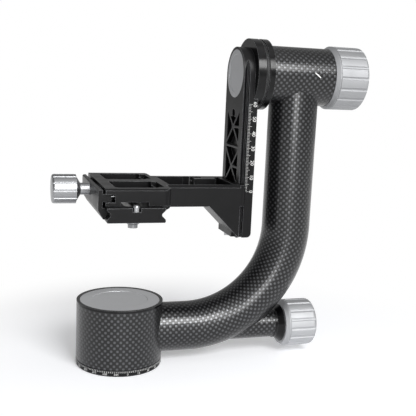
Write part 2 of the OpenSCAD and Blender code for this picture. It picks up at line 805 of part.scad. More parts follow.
module pan_brake_shoe() color("#b08a3e") difference() {
    along_x(0, 0, lock_z) rod(shoe_d / 2, 0, shoe_x1);
    rod(spindle_r + shoe_gap, 0, base_d);
}

module pan_lock_knob() color("#b4b6b8") along_x(pan_knob_x0, 0, lock_z) difference() {
    big_knob(pan_knob_d, pan_knob_l, flutes_n[1], pan_knob_round);
    rod(lock_rod_r + run, -eps, pan_knob_l / 2 + shoe_travel);
    rod(pan_knob_d / 3 + bond, pan_knob_l - knob_disc_t, pan_knob_l + eps);
}

module pan_lock_knob_disc() color("#3a3b3d") along_x(pan_knob_x0, 0, lock_z)
    rod(pan_knob_d / 3, pan_knob_l - knob_disc_t, pan_knob_l - small_chamfer);

module tilt_sleeve() color("#2a2b2e") difference() {
    along_x(0, 0, tilt_z) tube(sleeve_r, sleeve_r - sleeve_t, sleeve_x0, sleeve_x1);
    saddle_screw_places() cap_screw_room(sleeve_r, 0);
}

module tilt_housing() color("#7c7f82") difference() {
    along_x(0, 0, tilt_z) {
        rod(tilt_core_r, sleeve_x0, sleeve_x1);
        rod(tilt_bearing_r + screw_d / 2, ring_x0, sleeve_x0 + eps);
        rod(neck_d / 2, sleeve_x1 - eps, neck_x1);
    }
    along_x(0, 0, tilt_z) {
        rod(tilt_bearing_r + bond, ring_x0 - eps, tilt_right_x + tilt_bearing_w);
        rod(shaft_d / 2 + tilt_race_t, 0, collet_x0);
        rod(neck_d / 2 - screw_d, collet_x0 - loose, neck_x1 + eps);
    }
    saddle_screw_places() cap_screw_room(sleeve_r, tilt_bearing_r / 2);
}

module tilt_flange_ring() color("#151618")
    along_x(0, 0, tilt_z) tube(flange_d / 2, tilt_bearing_r + screw_d / 2 + bond, ring_x0, sleeve_x0);

module tilt_spacer_ring() color("#c3c5c7") along_x(0, 0, tilt_z) {
    ri = shaft_d / 2 + tilt_race_t + loose;
    mid = (flange_x1 + ring_x0) / 2;
    tube(flange_d / 2 - spacer_hub_inset, ri, flange_x1 + glide, ring_x0);
    tube(flange_d / 2 - spacer_inset, ri, mid - spacer_rim_t / 2, mid + spacer_rim_t / 2);
}

module tilt_bearing_outer_races() color("#c6c8ca") for (x = [tilt_left_x, tilt_right_x])
    along_x(x, 0, tilt_z)
        race(tilt_bearing_r - tilt_race_t, tilt_bearing_r, tilt_pitch_r, tilt_bearing_w, tilt_ball_d);

module tilt_bearing_inner_races() color("#c6c8ca") for (x = [tilt_left_x, tilt_right_x])
    along_x(x, 0, tilt_z)
        race(shaft_d / 2 + bond, shaft_d / 2 + tilt_race_t, tilt_pitch_r, tilt_bearing_w, tilt_ball_d);

module tilt_bearing_balls() color("#e4e6e8") for (x = [tilt_left_x, tilt_right_x])
    along_x(x, 0, tilt_z) balls(tilt_balls_n, tilt_pitch_r, tilt_bearing_w, tilt_ball_d);

module tilt_shaft() color("#a9abad") along_x(0, 0, tilt_z) {
    rod(shaft_d / 2, flange_x0 + loose, neck_x1 + eps * 2);
    rod(shaft_d / 2 + tilt_race_t, flange_x1, tilt_left_x);
}

module tilt_lock_collet() color("#b08a3e") along_x(0, 0, tilt_z) difference() {
    tube(neck_d / 2 - screw_d - run, shaft_d / 2 + run, collet_x0, neck_x1 + eps);
    block([0, -loose * 2, collet_x0 - eps], [neck_d, loose * 2, neck_x1 + eps * 2]);
}

module tilt_knob() color("#b4b6b8") along_x(tilt_knob_x0, 0, tilt_z) difference() {
    big_knob(tilt_knob_d, tilt_knob_l, flutes_n[0], tilt_knob_round);
    rod(neck_d / 2 + run, -eps, tilt_knob_in_x - tilt_knob_x0);
    rod(shaft_d / 2 + loose, 0, tilt_knob_in_x - tilt_knob_x0 + eps + loose);
    rod(tilt_knob_d / 3 + bond, tilt_knob_l - knob_disc_t, tilt_knob_l + eps);
}

module tilt_knob_disc() color("#3a3b3d") along_x(tilt_knob_x0, 0, tilt_z)
    rod(tilt_knob_d / 3, tilt_knob_l - knob_disc_t, tilt_knob_l - small_chamfer);

// Crosses and bars left between the pockets, as outlines of the pockets in Y and Z.
module truss_pockets() {
    s = truss_slope_share;
    bar = truss_bar / 2;
    low_z = truss_z - truss_pitch;
    for (zc = [truss_z - truss_pitch / 2, truss_z + truss_pitch / 2]) {
        for (side = [-1, 1]) difference() {
            polygon([[side * truss_hw, zc + s * truss_hw - truss_v],
                [side * truss_hw, zc - s * truss_hw + truss_v], [side * truss_v / s, zc]]);
            if (side < 0) translate([-truss_hw * 2, zc - bar]) square([truss_hw * 2, truss_bar]);
        }
        polygon([[-truss_hw, zc - truss_pitch / 2 + bar], [truss_hw, zc - truss_pitch / 2 + bar],
            [truss_hw, zc - s * truss_hw - truss_v], [0, zc - truss_v],
            [-truss_hw, zc - s * truss_hw - truss_v]]);
    }
    zt = truss_z - truss_pitch / 2;
    polygon([[-truss_hw, truss_z - bar], [truss_hw, truss_z - bar],
        [truss_hw, zt + s * truss_hw + truss_v], [0, zt + truss_v],
        [-truss_hw, zt + s * truss_hw + truss_v]]);
    zu = truss_z + truss_pitch / 2;
    v_top = truss_z + truss_pitch * 3 / 4;
    polygon([[0, zu + truss_v], [(v_top - zu - truss_v) / s, v_top], [-(v_top - zu - truss_v) / s, v_top]]);
    translate([0, truss_z + truss_pitch * 5 / 6]) circle(d = truss_hole_d);
}

module swing_arm() color("#1a1b1d") difference() {
    intersection() {
        translate([arm_x0, 0, arm_z0]) linear_extrude(tilt_z + arm_hw - arm_z0) polygon([
            for (side = [1, -1]) each let (points = [[0, arm_hw], [groove_land, arm_hw],
                [groove_land + groove_depth, groove_hw], [groove_end, groove_hw],
                [groove_end, arm_hw], [arm_t, arm_hw]])
                [for (i = [0:len(points) - 1]) let (p = points[side > 0 ? i : len(points) - 1 - i])
                    [p[0], side * p[1]]]]);
        along_x(arm_x0 - eps, 0, tilt_z) linear_extrude(arm_t + eps * 2) union() {
            circle(arm_hw);
            translate([0, -arm_hw]) square([tilt_z - arm_z0, arm_w]);
        }
    }
    along_x(0, 0, tilt_z) {
        rod(flange_d / 2 + loose, flange_x0, arm_x1 + eps);
        rod(arm_cap_d / 2 + bond, arm_x0 - eps, arm_bore_x);
    }
    flange_screw_places() cap_screw_room(arm_t, screw_head_h + loose + eps);
    translate([arm_x0 - eps, 0, 0]) rotate([90, 0, 90]) linear_extrude(truss_depth + eps) truss_pockets();
    translate([arm_x1 - arm_corner_r, 0, arm_z0 + arm_corner_r]) rotate([90, 0, 0])
        linear_extrude(arm_w + eps * 2, center = true) difference() {
            translate([0, -arm_corner_r - eps]) square([arm_corner_r + eps, arm_corner_r + eps]);
            circle(arm_corner_r);
        }
}

module flange_screw_places() {
    for (i = [0:5]) along_x(arm_seat_x, 0, tilt_z) rotate(i * 60)
        translate([flange_screw_r, 0, 0]) rotate([180, 0, 0]) children();
}

module swing_arm_cap() color("#5d5f61") along_x(0, 0, tilt_z) difference() {
    rod(arm_cap_d / 2, arm_x0, arm_bore_x);
    rod(arm_cap_circle_d / 2, arm_x0 - eps, arm_x0 + cap_circle_depth);
}

module tilt_flange() color("#1a1b1d") difference() {
    along_x(0, 0, tilt_z) rod(flange_d / 2, flange_x0, flange_x1);
    along_x(0, 0, tilt_z) rod(shaft_d / 2 + bond, flange_x0 + bond, flange_x1 + eps);
    flange_screw_places() cap_screw_room(flange_x1 - arm_seat_x - loose * 2, 0);
}

module tilt_flange_screws() color("#4c4e50")
    flange_screw_places() cap_screw(flange_x1 - arm_seat_x - loose * 4);

// Long chamfer tool along X: centre it on a long top edge.
module edge_cut_x(x0, x1, y, z, c) {
    translate([x0, y, z]) rotate([45, 0, 0])
        translate([0, -c / sqrt(2), -c / sqrt(2)]) cube([x1 - x0, c * sqrt(2), c * sqrt(2)]);
}

module cradle_body() {
    block([plat_x1 - eps, -cradle_hw, arm_low_z], [cradle_x1, cradle_hw, cradle_top_z]);
    block([plat_x0, -plat_hl, plat_low_z], [plat_x1 - plat_corner_r, plat_hl, cradle_top_z]);
    block([plat_x0, plat_corner_r - plat_hl, plat_low_z], [plat_x1, plat_hl - plat_corner_r, cradle_top_z]);
    for (side = [-1, 1]) translate([plat_x1 - plat_corner_r, side * (plat_hl - plat_corner_r), 0])
        rod(plat_corner_r, plat_low_z, cradle_top_z);
    // Fixed lip of the clamp, under the end of the cradle arm
    translate([plate_x, 0, 0]) across(concat(tongue_points(trough_x0 - plate_x),
        [[trough_x0 - plate_x - cradle_wall * 2, flank_z0 + slant],
        [trough_x0 - plate_x, arm_low_z - small_chamfer * 2], [trough_x0 - plate_x, cradle_top_z],
        [plate_hw + cradle_wall, cradle_top_z], [plate_hw + cradle_wall, flank_z1]]), -cradle_hw, cradle_hw);
    // Gusset and the plate that faces the swing arm
    across([[cradle_x1 - gusset_l, arm_low_z], [cradle_x1, cradle_z0 + small_chamfer],
        [cradle_x1, arm_low_z + eps], [cradle_x1 - gusset_l, arm_low_z + eps]], -cradle_hw, gusset_y1);
    block([back_x0, -arm_hw, cradle_z0], [cradle_x1, gusset_y1, arm_low_z + eps]);
    // Front hook in the swing arm's groove
    translate([0, 0, arm_low_z]) linear_extrude(cradle_h) mirror([0, 1]) jaw_outline(cradle_hw);
}

module cradle_bracket() color("#18191b") difference() {
    cradle_body();
    // Open trough, and the gap in its rear wall where the height jaw slides
    block([trough_x0, cradle_wall - cradle_hw, trough_z],
        [back_x0, cradle_hw - cradle_wall, cradle_top_z + eps]);
    block([rear_wall_x1, height_jaw_y0 - eps, trough_z], [back_x0, cradle_hw - gap_wall, cradle_top_z + eps]);
    block([height_jaw_x0 - loose, height_jaw_y0 - eps, trough_z],
        [back_x0, cradle_hw + eps, cradle_top_z + eps]);
    block([height_jaw_x1 - eps, back_y1, trough_z], [hook_x1, cradle_hw + eps, cradle_top_z + eps]);
    // Hollow back of the gusset
    across([[cradle_x1 - gusset_l + gusset_wall * 1.4, arm_low_z], [back_x0, arm_low_z],
        [back_x0, arm_low_z - gusset_l + gusset_wall * 1.4 + back_t]],
        gusset_wall - cradle_hw, gusset_y1 + eps);
    // Windows, each with a narrow pocket along its right side, behind a bar that stands lower
    for (side = [-1, 1]) {
        ys = [window_rib / 2, plat_hl - window_end];
        y0 = side > 0 ? ys[0] : -ys[1];
        y1 = side > 0 ? ys[1] : -ys[0];
        x1 = plat_x1 - window_right - ledge_w - ledge_t;
        window([plat_x0 + window_left, y0], [x1, y1], plat_low_z - eps);
        block([x1 + ledge_t, y0 + window_r, cradle_top_z - ledge_d],
            [plat_x1 - window_right, y1 - window_r, cradle_top_z + eps]);
        block([x1 - eps, y0 + window_r, cradle_top_z - ledge_t * 2],
            [x1 + ledge_t + eps, y1 - window_r, cradle_top_z + eps]);
        // Channel for the plate's stop screws, and pocket for the jaw's tongue
        block([plate_x - channel_w / 2, side > 0 ? plat_hl - channel_l : -plat_hl - eps, plat_low_z - eps],
            [plate_x + channel_w / 2, side > 0 ? plat_hl + eps : channel_l - plat_hl,
                plat_low_z + channel_h]);
        block([plat_x0 - eps, side > 0 ? tongue_y0 - glide : -plat_hl - eps, tongue_z - glide],
            [plat_x0 + pocket_l, side > 0 ? plat_hl + eps : glide - tongue_y0, tongue_z + tongue_h + glide]);
        along_x(0, side * guide_y, guide_z) rod(guide_d / 2 + bond, plat_x0 + pocket_l - eps, guide_x1);
        edge_cut_x(plat_x0 - eps, plat_x1 + eps, side * plat_hl, cradle_top_z, plat_chamfer);
    }
    // Threads for the clamp spindle, the height lock's stud and the stop screw
    along_x(plat_x0, 0, clamp_z) rod(clamp_thread_d / 2 + run, -eps, clamp_thread_l + loose);
    along_y(height_x, 0, height_z) rod(height_stud_d / 2 + bond, cradle_wall / 3 - cradle_hw, 0);
    translate([cradle_x1 - back_t / 2, stop_y, 0])
        rod(stop_head_d / 3 + bond, cradle_z0 - eps, cradle_z0 + stop_shank_l + loose);
    edge_cut_x(plat_x1 + plat_chamfer, cradle_x1, -cradle_hw, cradle_top_z, plat_chamfer * 3 / 2);
}

module window(lo, hi, z0) {
    for (x = [lo[0] + window_r, hi[0] - window_r])
        for (y = [lo[1] + window_r, hi[1] - window_r])
            translate([x, y, 0]) rod(window_r, z0, cradle_top_z + eps);
    block([lo[0] + window_r, lo[1], z0], [hi[0] - window_r, hi[1], cradle_top_z + eps]);
    block([lo[0], lo[1] + window_r, z0], [hi[0], hi[1] - window_r, cradle_top_z + eps]);
}

module clamp_guide_pins() color("#c3c5c7") for (side = [-1, 1])
    along_x(0, side * guide_y, guide_z)
        rod(guide_d / 2, jaw_x0 + guide_skin + loose, guide_x1 - loose);

module cradle_stop_screw() color("#c3c5c7") translate([cradle_x1 - back_t / 2, stop_y, 0]) {
    rod(stop_head_d / 2, cradle_z0 - stop_head_h, cradle_z0);
    rod(stop_head_d / 3, cradle_z0 - stop_head_h, cradle_z0 + stop_shank_l);
}

module height_lock_jaw() color("#18191b") difference() {
    union() {
        block([height_jaw_x0, height_jaw_y0, trough_z + glide], [height_jaw_x1, cradle_hw, cradle_top_z]);
        block([height_jaw_x1 - eps, arm_hw + glide, trough_z + glide],
            [cradle_x1, cradle_hw, cradle_top_z]);
        translate([0, 0, trough_z + glide]) linear_extrude(cradle_top_z - trough_z - glide)
            jaw_outline(cradle_hw);
    }
    along_y(height_x, 0, height_z) rod(height_stud_d / 2 + run, 0, cradle_w);
    translate([height_jaw_x0 + jaw_recess_d * 3 / 8, cradle_hw - jaw_recess_d / 2 - small_chamfer * 2, 0])
        rod(jaw_recess_d / 2, cradle_top_z - jaw_recess_depth, cradle_top_z + eps);
}

module height_lock_stud() color("#9a9c9e") along_y(height_x, 0, height_z)
    rod(height_stud_d / 2, cradle_wall / 3 - cradle_hw + loose, cradle_hw + height_knob_l - loose * 3);

module height_lock_knob() color("#b4b6b8") along_y(height_x, cradle_hw + loose, height_z) difference() {
    small_knob(height_knob_d, height_knob_l, flutes_n[3]);
    rod(height_stud_d / 2 + run, -eps, height_knob_l - eps);
}

module clamp_jaw() color("#18191b") difference() {
    union() {
        translate([plate_x, 0, 0]) mirror([1, 0, 0]) across(concat(tongue_points(plate_x - jaw_x1), [
            [plate_hw + glide, jaw_z0], [plate_hw + glide + small_chamfer * 2, jaw_z0],
            [plate_x - jaw_x0, jaw_slant_z], [plate_x - jaw_x0, jaw_top_z - small_chamfer * 2],
            [plate_x - jaw_x0 - small_chamfer * 2, jaw_top_z], [plate_x - jaw_x1 + small_chamfer, jaw_top_z],
            [plate_x - jaw_x1, jaw_top_z - small_chamfer]]), -jaw_l / 2, jaw_l / 2);
        for (side = [-1, 1]) block([jaw_x1 - eps, side > 0 ? tongue_y0 : -jaw_l / 2, tongue_z],
            [plat_x0 + tongue_l, side > 0 ? jaw_l / 2 : -tongue_y0, tongue_z + tongue_h]);
    }
    along_x(jaw_x0, 0, clamp_z) rod(clamp_thread_d / 2 + run, -eps, plat_x0 - jaw_x0 + eps);
    for (side = [-1, 1]) along_x(0, side * guide_y, guide_z)
        rod(guide_d / 2 + run, jaw_x0 + guide_skin, plat_x0 + pocket_l);
}

module clamp_spindle() color("#9a9c9e") along_x(0, 0, clamp_z)
    rod(clamp_thread_d / 2, clamp_neck_x0 + bond, plat_x0 + clamp_thread_l);

module clamp_knob() color("#b4b6b8") along_x(0, 0, clamp_z) difference() {
    union() {
        translate([0, 0, clamp_knob_x1]) mirror([0, 0, 1])
            small_knob(clamp_knob_d, clamp_knob_l, flutes_n[2]);
        translate([0, 0, clamp_knob_x1 - bond])
            cylinder(r1 = clamp_knob_d / 2 - small_flute_depth * 3 / 2, r2 = clamp_neck_d / 2,
                h = clamp_cone_l + bond);
        rod(clamp_neck_d / 2, clamp_neck_x0 - eps, jaw_x0 - run);
    }
    rod(clamp_thread_d / 2 + bond, clamp_neck_x0, jaw_x0 + eps);
}

// Dovetail section of the plate in X and Z, from its middle outwards.
function plate_side(side) = [[side * plate_hw, plate_z0 + edge_chamfer], [side * plate_hw, flank_z0],
    [side * (plate_hw - plate_groove), flank_z0 + plate_groove],
    [side * (plate_hw - plate_groove), flank_z1 - plate_groove], [side * plate_hw, flank_z1],
    [side * plate_hw, plate_top_z - edge_chamfer], [side * (plate_hw - edge_chamfer), plate_top_z]];

module quick_plate() color("#1c1d1f") difference() {
    translate([plate_x, 0, 0]) across(concat([[edge_chamfer - plate_hw, plate_z0],
        [plate_hw - edge_chamfer, plate_z0]], plate_side(1), [for (i = [6:-1:0]) plate_side(-1)[i]]),
        -plate_l / 2, plate_l / 2);
    slot_shape(slot_w, plate_z0 - eps, plate_top_z + eps);
    slot_shape(slot_step_w, slot_step_z, plate_top_z + eps);
    for (side = [-1, 1]) translate([plate_x, side * dome_y, 0]) {
        rod(dome_d / 2 + glide, plate_top_z - dome_h + dome_out, plate_top_z + eps);
        block([-dome_d / 2 - glide, side > 0 ? 0 : -dome_edge - eps, plate_top_z - dome_h + dome_out],
            [dome_d / 2 + glide, side > 0 ? dome_edge + eps : 0, plate_top_z + eps]);
        rod(dome_d / 4 + bond, plate_z0 + plate_land, plate_top_z);
    }
    strips(bond, strip_out);
}

module slot_shape(w, z0, z1) {
    for (side = [-1, 1]) translate([plate_x, side * slot_l / 2, 0]) rod(w / 2, z0, z1);
    block([plate_x - w / 2, -slot_l / 2, z0], [plate_x + w / 2, slot_l / 2, z1]);
}

module strips(gap, out) {
    x = (slot_step_w + strip_w) / 2 + strip_t / 2;
    for (side = [-1, 1]) block([plate_x + side * x - strip_w / 2 - gap, -slot_l / 2 - gap, plate_z0 - out],
        [plate_x + side * x + strip_w / 2 + gap, slot_l / 2 + gap, plate_z0 + strip_t - strip_out + gap]);
}

module plate_strips() color("#2c2c2d") strips(0, strip_out);

module plate_stop_screws() color("#c3c5c7") for (side = [-1, 1])
    translate([plate_x, side * dome_y, plate_top_z - dome_h + dome_out]) {
        rounded_rod(dome_d / 2, dome_h, dome_d / 3);
        rod(dome_d / 4, plate_z0 + plate_land + loose - plate_top_z + dome_h - dome_out, eps);
    }

module camera_screw_ring() color("#c3c5c7") translate([plate_x, camera_y, camera_ring_z]) difference() {
    union() {
        rod(camera_ring_d / 2, camera_ring_bevel, camera_ring_t);
        cylinder(r1 = camera_ring_d / 2 - camera_ring_bevel, r2 = camera_ring_d / 2, h = camera_ring_bevel);
    }
    rod(camera_shank_d / 2 + run, -eps, camera_ring_t + eps);
}

module camera_screw() color("#c3c5c7") translate([plate_x, camera_y, 0]) difference() {
    union() {
        rod(camera_thread_d / 2, plate_z0 - camera_out, camera_ring_z - run);
        rod(camera_shank_d / 2, plate_z0 - camera_out, slot_step_z + eps);
        rod(camera_head_d / 2, slot_step_z + glide, slot_step_z + glide + camera_head_h);
    }
    block([-camera_head_d, -loose * 2, slot_step_z + camera_head_h / 2 + glide],
        [camera_head_d, loose * 2, plate_top_z + eps]);
}

base_plate();
tripod_socket();
base_screws();
pan_spindle();
pan_bearing_inner_races();
pan_retainer();
pan_retainer_screw();
pan_shell();
pan_housing();
pan_top_ring();
pan_cap();
pan_bearing_outer_races();
pan_bearing_balls();
arm_lower_insert();
arm_root_screws();
curved_arm();
arm_upper_insert();
saddle_screws();
pan_lock_tube();
pan_lock_collar();
tilt_sleeve();
tilt_housing();
tilt_flange_ring();
tilt_spacer_ring();
tilt_bearing_outer_races();
tilt_bearing_balls();
swing_arm();
swing_arm_cap();
tilt_flange();
tilt_flange_screws();
tilt_shaft();
tilt_bearing_inner_races();
cradle_bracket();
clamp_guide_pins();
cradle_stop_screw();
height_lock_jaw();
height_lock_stud();
height_lock_knob();
clamp_jaw();
clamp_spindle();
clamp_knob();
quick_plate();
plate_strips();
plate_stop_screws();
camera_screw_ring();
camera_screw();
tilt_lock_collet();
tilt_knob();
tilt_knob_disc();
pan_brake_shoe();
pan_lock_rod();
pan_lock_knob();
pan_lock_knob_disc();
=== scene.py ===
"""A gimbal head for long lenses: finishes, printed scales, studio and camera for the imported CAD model."""

import math

import bmesh
import bpy
from mathutils import Matrix, Vector


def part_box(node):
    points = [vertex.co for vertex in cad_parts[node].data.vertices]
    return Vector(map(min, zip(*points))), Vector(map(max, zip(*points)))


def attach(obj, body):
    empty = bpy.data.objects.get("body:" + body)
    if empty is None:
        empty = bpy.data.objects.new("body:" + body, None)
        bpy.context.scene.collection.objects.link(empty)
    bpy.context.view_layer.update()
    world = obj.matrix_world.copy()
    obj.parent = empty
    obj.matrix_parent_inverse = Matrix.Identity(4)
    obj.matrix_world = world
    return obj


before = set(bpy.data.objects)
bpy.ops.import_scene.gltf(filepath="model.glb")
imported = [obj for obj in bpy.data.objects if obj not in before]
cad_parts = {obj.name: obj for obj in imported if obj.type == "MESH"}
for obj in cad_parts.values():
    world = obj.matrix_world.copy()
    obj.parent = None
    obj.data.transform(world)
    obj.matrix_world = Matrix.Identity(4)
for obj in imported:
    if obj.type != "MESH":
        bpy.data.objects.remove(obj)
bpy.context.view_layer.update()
scene = bpy.context.scene
scene.view_settings.view_transform = "Standard"
mm = 0.001


# Camera
# A short telephoto half a metre from the head, a little above the cradle and turned towards the clamp knob.
# It is rolled by the 2.5 degrees that the head leans on its lock knob in the photograph.

view_turn, view_rise, view_roll = math.radians(17.401), math.radians(9.543), math.radians(-2.538)
view_distance = 513.325 * mm
aim = Vector((61.695, 0, 109.654)) * mm
film_width, focal_length = 36, 62.434

back = Vector((-math.sin(view_turn) * math.cos(view_rise), -math.cos(view_turn) * math.cos(view_rise),
               math.sin(view_rise)))
level = Vector((0, 0, 1)).cross(back).normalized()
upright = back.cross(level)
right = level * math.cos(view_roll) - upright * math.sin(view_roll)
up = level * math.sin(view_roll) + upright * math.cos(view_roll)

lens = bpy.data.cameras.new("camera")
lens.sensor_width, lens.lens = film_width, focal_length
lens.clip_start, lens.clip_end = 10 * mm, 100
camera = bpy.data.objects.new("camera", lens)
view = Matrix((right, up, back)).transposed().to_4x4()
camera.matrix_world = Matrix.Translation(aim + back * view_distance) @ view
scene.collection.objects.link(camera)
scene.camera = camera


# Studio
# A white sweep lies under and behind the head. A large softbox stands in front and above, and weaker ones in
# front and overhead. The room above the sweep is grey, which gives the bare metal its darker upper bands.

def rgb(code):
    """An sRGB hex colour as linear red, green and blue, with alpha."""
    parts = [int(code[i:i + 2], 16) / 255 for i in (1, 3, 5)]
    return tuple(c / 12.92 if c <= 0.04045 else ((c + 0.055) / 1.055) ** 2.4 for c in parts) + (1,)


def add(tree, kind, inputs=(), **settings):
    """Adds a node, with its settings, and with its inputs set to values or linked to other nodes' outputs."""
    node = tree.nodes.new(kind)
    for name, value in settings.items():
        setattr(node, name, value)
    for name, value in dict(inputs).items():
        if isinstance(value, bpy.types.NodeSocket):
            tree.links.new(value, node.inputs[name])
        else:
            node.inputs[name].default_value = value
    return node


def empty_material(name):
    """A new material whose node tree is empty, and that tree."""
    material = bpy.data.materials.new(name)
    material.use_nodes = True
    material.node_tree.nodes.clear()
    return material, material.node_tree


# The room is plain white to the camera. It lights the head with room_light, and glossy surfaces mirror it as
# room_gloss above sweep_top, which passes into sweep_gloss at half that height.
room_light, room_gloss, sweep_gloss, sweep_top = 0.28, 0.34, 0.38, 0.42
room = bpy.data.worlds.new("studio")
room.use_nodes = True
tree = room.node_tree
tree.nodes.clear()
ray = add(tree, "ShaderNodeLightPath").outputs
direction = add(tree, "ShaderNodeTexCoord").outputs["Generated"]
height = add(tree, "ShaderNodeSeparateXYZ", {"Vector": direction}).outputs["Z"]
sweep = add(tree, "ShaderNodeMapRange", {"Value": height, "From Min": sweep_top, "From Max": sweep_top / 2,
                                         "To Min": room_gloss, "To Max": sweep_gloss},
            interpolation_type="SMOOTHSTEP")
shown = add(tree, "ShaderNodeMath", {0: ray["Is Camera Ray"], 1: ray["Is Transmission Ray"]},
            operation="MAXIMUM")
mirrored = add(tree, "ShaderNodeMix", {"Factor": ray["Is Glossy Ray"], "A": room_light,
                                       "B": sweep.outputs[0]})
strength = add(tree, "ShaderNodeMix", {"Factor": shown.outputs[0], "A": mirrored.outputs[0], "B": 1.0})
sky = add(tree, "ShaderNodeBackground", {"Color": rgb("#ffffff"), "Strength": strength.outputs[0]})
add(tree, "ShaderNodeOutputWorld", {"Surface": sky.outputs[0]})
scene.world = room

# The floor: matt white board, which turns to the plain white of the background away from the head.
floor_radius, floor_sides = 2.4, 96
fade_start, fade_end = 0.1, 0.25
floor_white, floor_glow = "#f1f2f5", 0.26
board, tree = empty_material("matt white board")
place = add(tree, "ShaderNodeTexCoord").outputs["Object"]
from_head = add(tree, "ShaderNodeVectorMath", {0: place, 1: (aim.x, 0, 0)}, operation="DISTANCE")
fade = add(tree, "ShaderNodeMapRange", {"Value": from_head.outputs["Value"], "From Min": fade_start,
                                        "From Max": fade_end},
           interpolation_type="SMOOTHSTEP")
ray = add(tree, "ShaderNodeLightPath").outputs
seen = add(tree, "ShaderNodeMath", {0: ray["Is Camera Ray"], 1: ray["Is Glossy Ray"]}, operation="MAXIMUM")
seen = add(tree, "ShaderNodeMath", {0: seen.outputs[0], 1: ray["Is Transmission Ray"]}, operation="MAXIMUM")
lit = add(tree, "ShaderNodeBsdfDiffuse", {"Color": rgb(floor_white)})
glow = add(tree, "ShaderNodeEmission", {"Color": rgb("#ffffff"), "Strength": floor_glow})
raised = add(tree, "ShaderNodeAddShader", {0: lit.outputs[0], 1: glow.outputs[0]})
plain = add(tree, "ShaderNodeEmission", {"Color": rgb("#ffffff"), "Strength": 1.0})
shown = add(tree, "ShaderNodeMixShader", {0: fade.outputs[0], 1: raised.outputs[0], 2: plain.outputs[0]})
both = add(tree, "ShaderNodeMixShader", {0: seen.outputs[0], 1: lit.outputs[0], 2: shown.outputs[0]})
add(tree, "ShaderNodeOutputMaterial", {"Surface": both.outputs[0]})

shape = bmesh.new()
bmesh.ops.create_circle(shape, cap_ends=True, cap_tris=False, segments=floor_sides, radius=floor_radius)
mesh = bpy.data.meshes.new("floor")
shape.to_mesh(mesh)
shape.free()
mesh.materials.append(board)
floor = bpy.data.objects.new("floor", mesh)
scene.collection.objects.link(floor)

# The softboxes: name, turn from the front towards the clamp knob, rise, distance, width, height, power.
softboxes = (("key", -14, 35, 1.30, 0.64, 0.54, 14.0),
             ("front", 4, 9, 1.40, 0.52, 0.50, 6.2),
             ("top", -10, 78, 1.30, 1.10, 0.90, 1.7))
for name, turn, rise, distance, width, tall, power in softboxes:
    turn, rise = math.radians(turn), math.radians(rise)
    lamp = bpy.data.lights.new(name, "AREA")
    lamp.shape, lamp.size, lamp.size_y, lamp.energy = "RECTANGLE", width, tall, power
    box = bpy.data.objects.new(name, lamp)
    away = Vector((-math.sin(turn) * math.cos(rise), -math.cos(turn) * math.cos(rise), math.sin(rise)))
    towards_head = away.to_track_quat("Z", "Y").to_matrix().to_4x4()
    box.matrix_world = Matrix.Translation(aim + away * distance) @ towards_head
    scene.collection.objects.link(box)


# Base plate and degree ring
# Turned aluminium disc, blasted and dyed black in the anodising bath, which leaves a dry satin skin.
# Its rim carries a degree scale in white ink, a mark every 2.5 degrees and a number every 15.

def dress(nodes, material):
    """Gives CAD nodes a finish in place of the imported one."""
    for name in nodes.split():
        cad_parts[name].data.materials[0] = material


def rounded_edges(tree, width):
    """A normal that rounds the edges over a width, and how strongly a point lies on such an edge."""
    flat_match, edge_match = 0.995, 0.8
    rounded = add(tree, "ShaderNodeBevel", {"Radius": width}, samples=6)
    flat = add(tree, "ShaderNodeNewGeometry").outputs["True Normal"]
    match = add(tree, "ShaderNodeVectorMath", {0: rounded.outputs[0], 1: flat}, operation="DOT_PRODUCT")
    edge = add(tree, "ShaderNodeMapRange", {"Value": match.outputs["Value"], "From Min": flat_match,
                                            "From Max": edge_match})
    return rounded.outputs[0], edge.outputs[0]


# The values between which a noise texture mostly stays.
noise_low, noise_high = 0.3, 0.7


def mottled(tree, colour, noise, low, high):
    """A hex colour that a noise makes from low to high times as bright."""
    share = add(tree, "ShaderNodeMapRange", {"Value": noise, "From Min": noise_low, "From Max": noise_high,
                                             "To Min": low, "To Max": high})
    tint = add(tree, "ShaderNodeMix", {"Factor": 1.0, "A": rgb(colour), "B": share.outputs[0]},
               data_type="RGBA", blend_type="MULTIPLY")
    return tint.outputs["Result"]


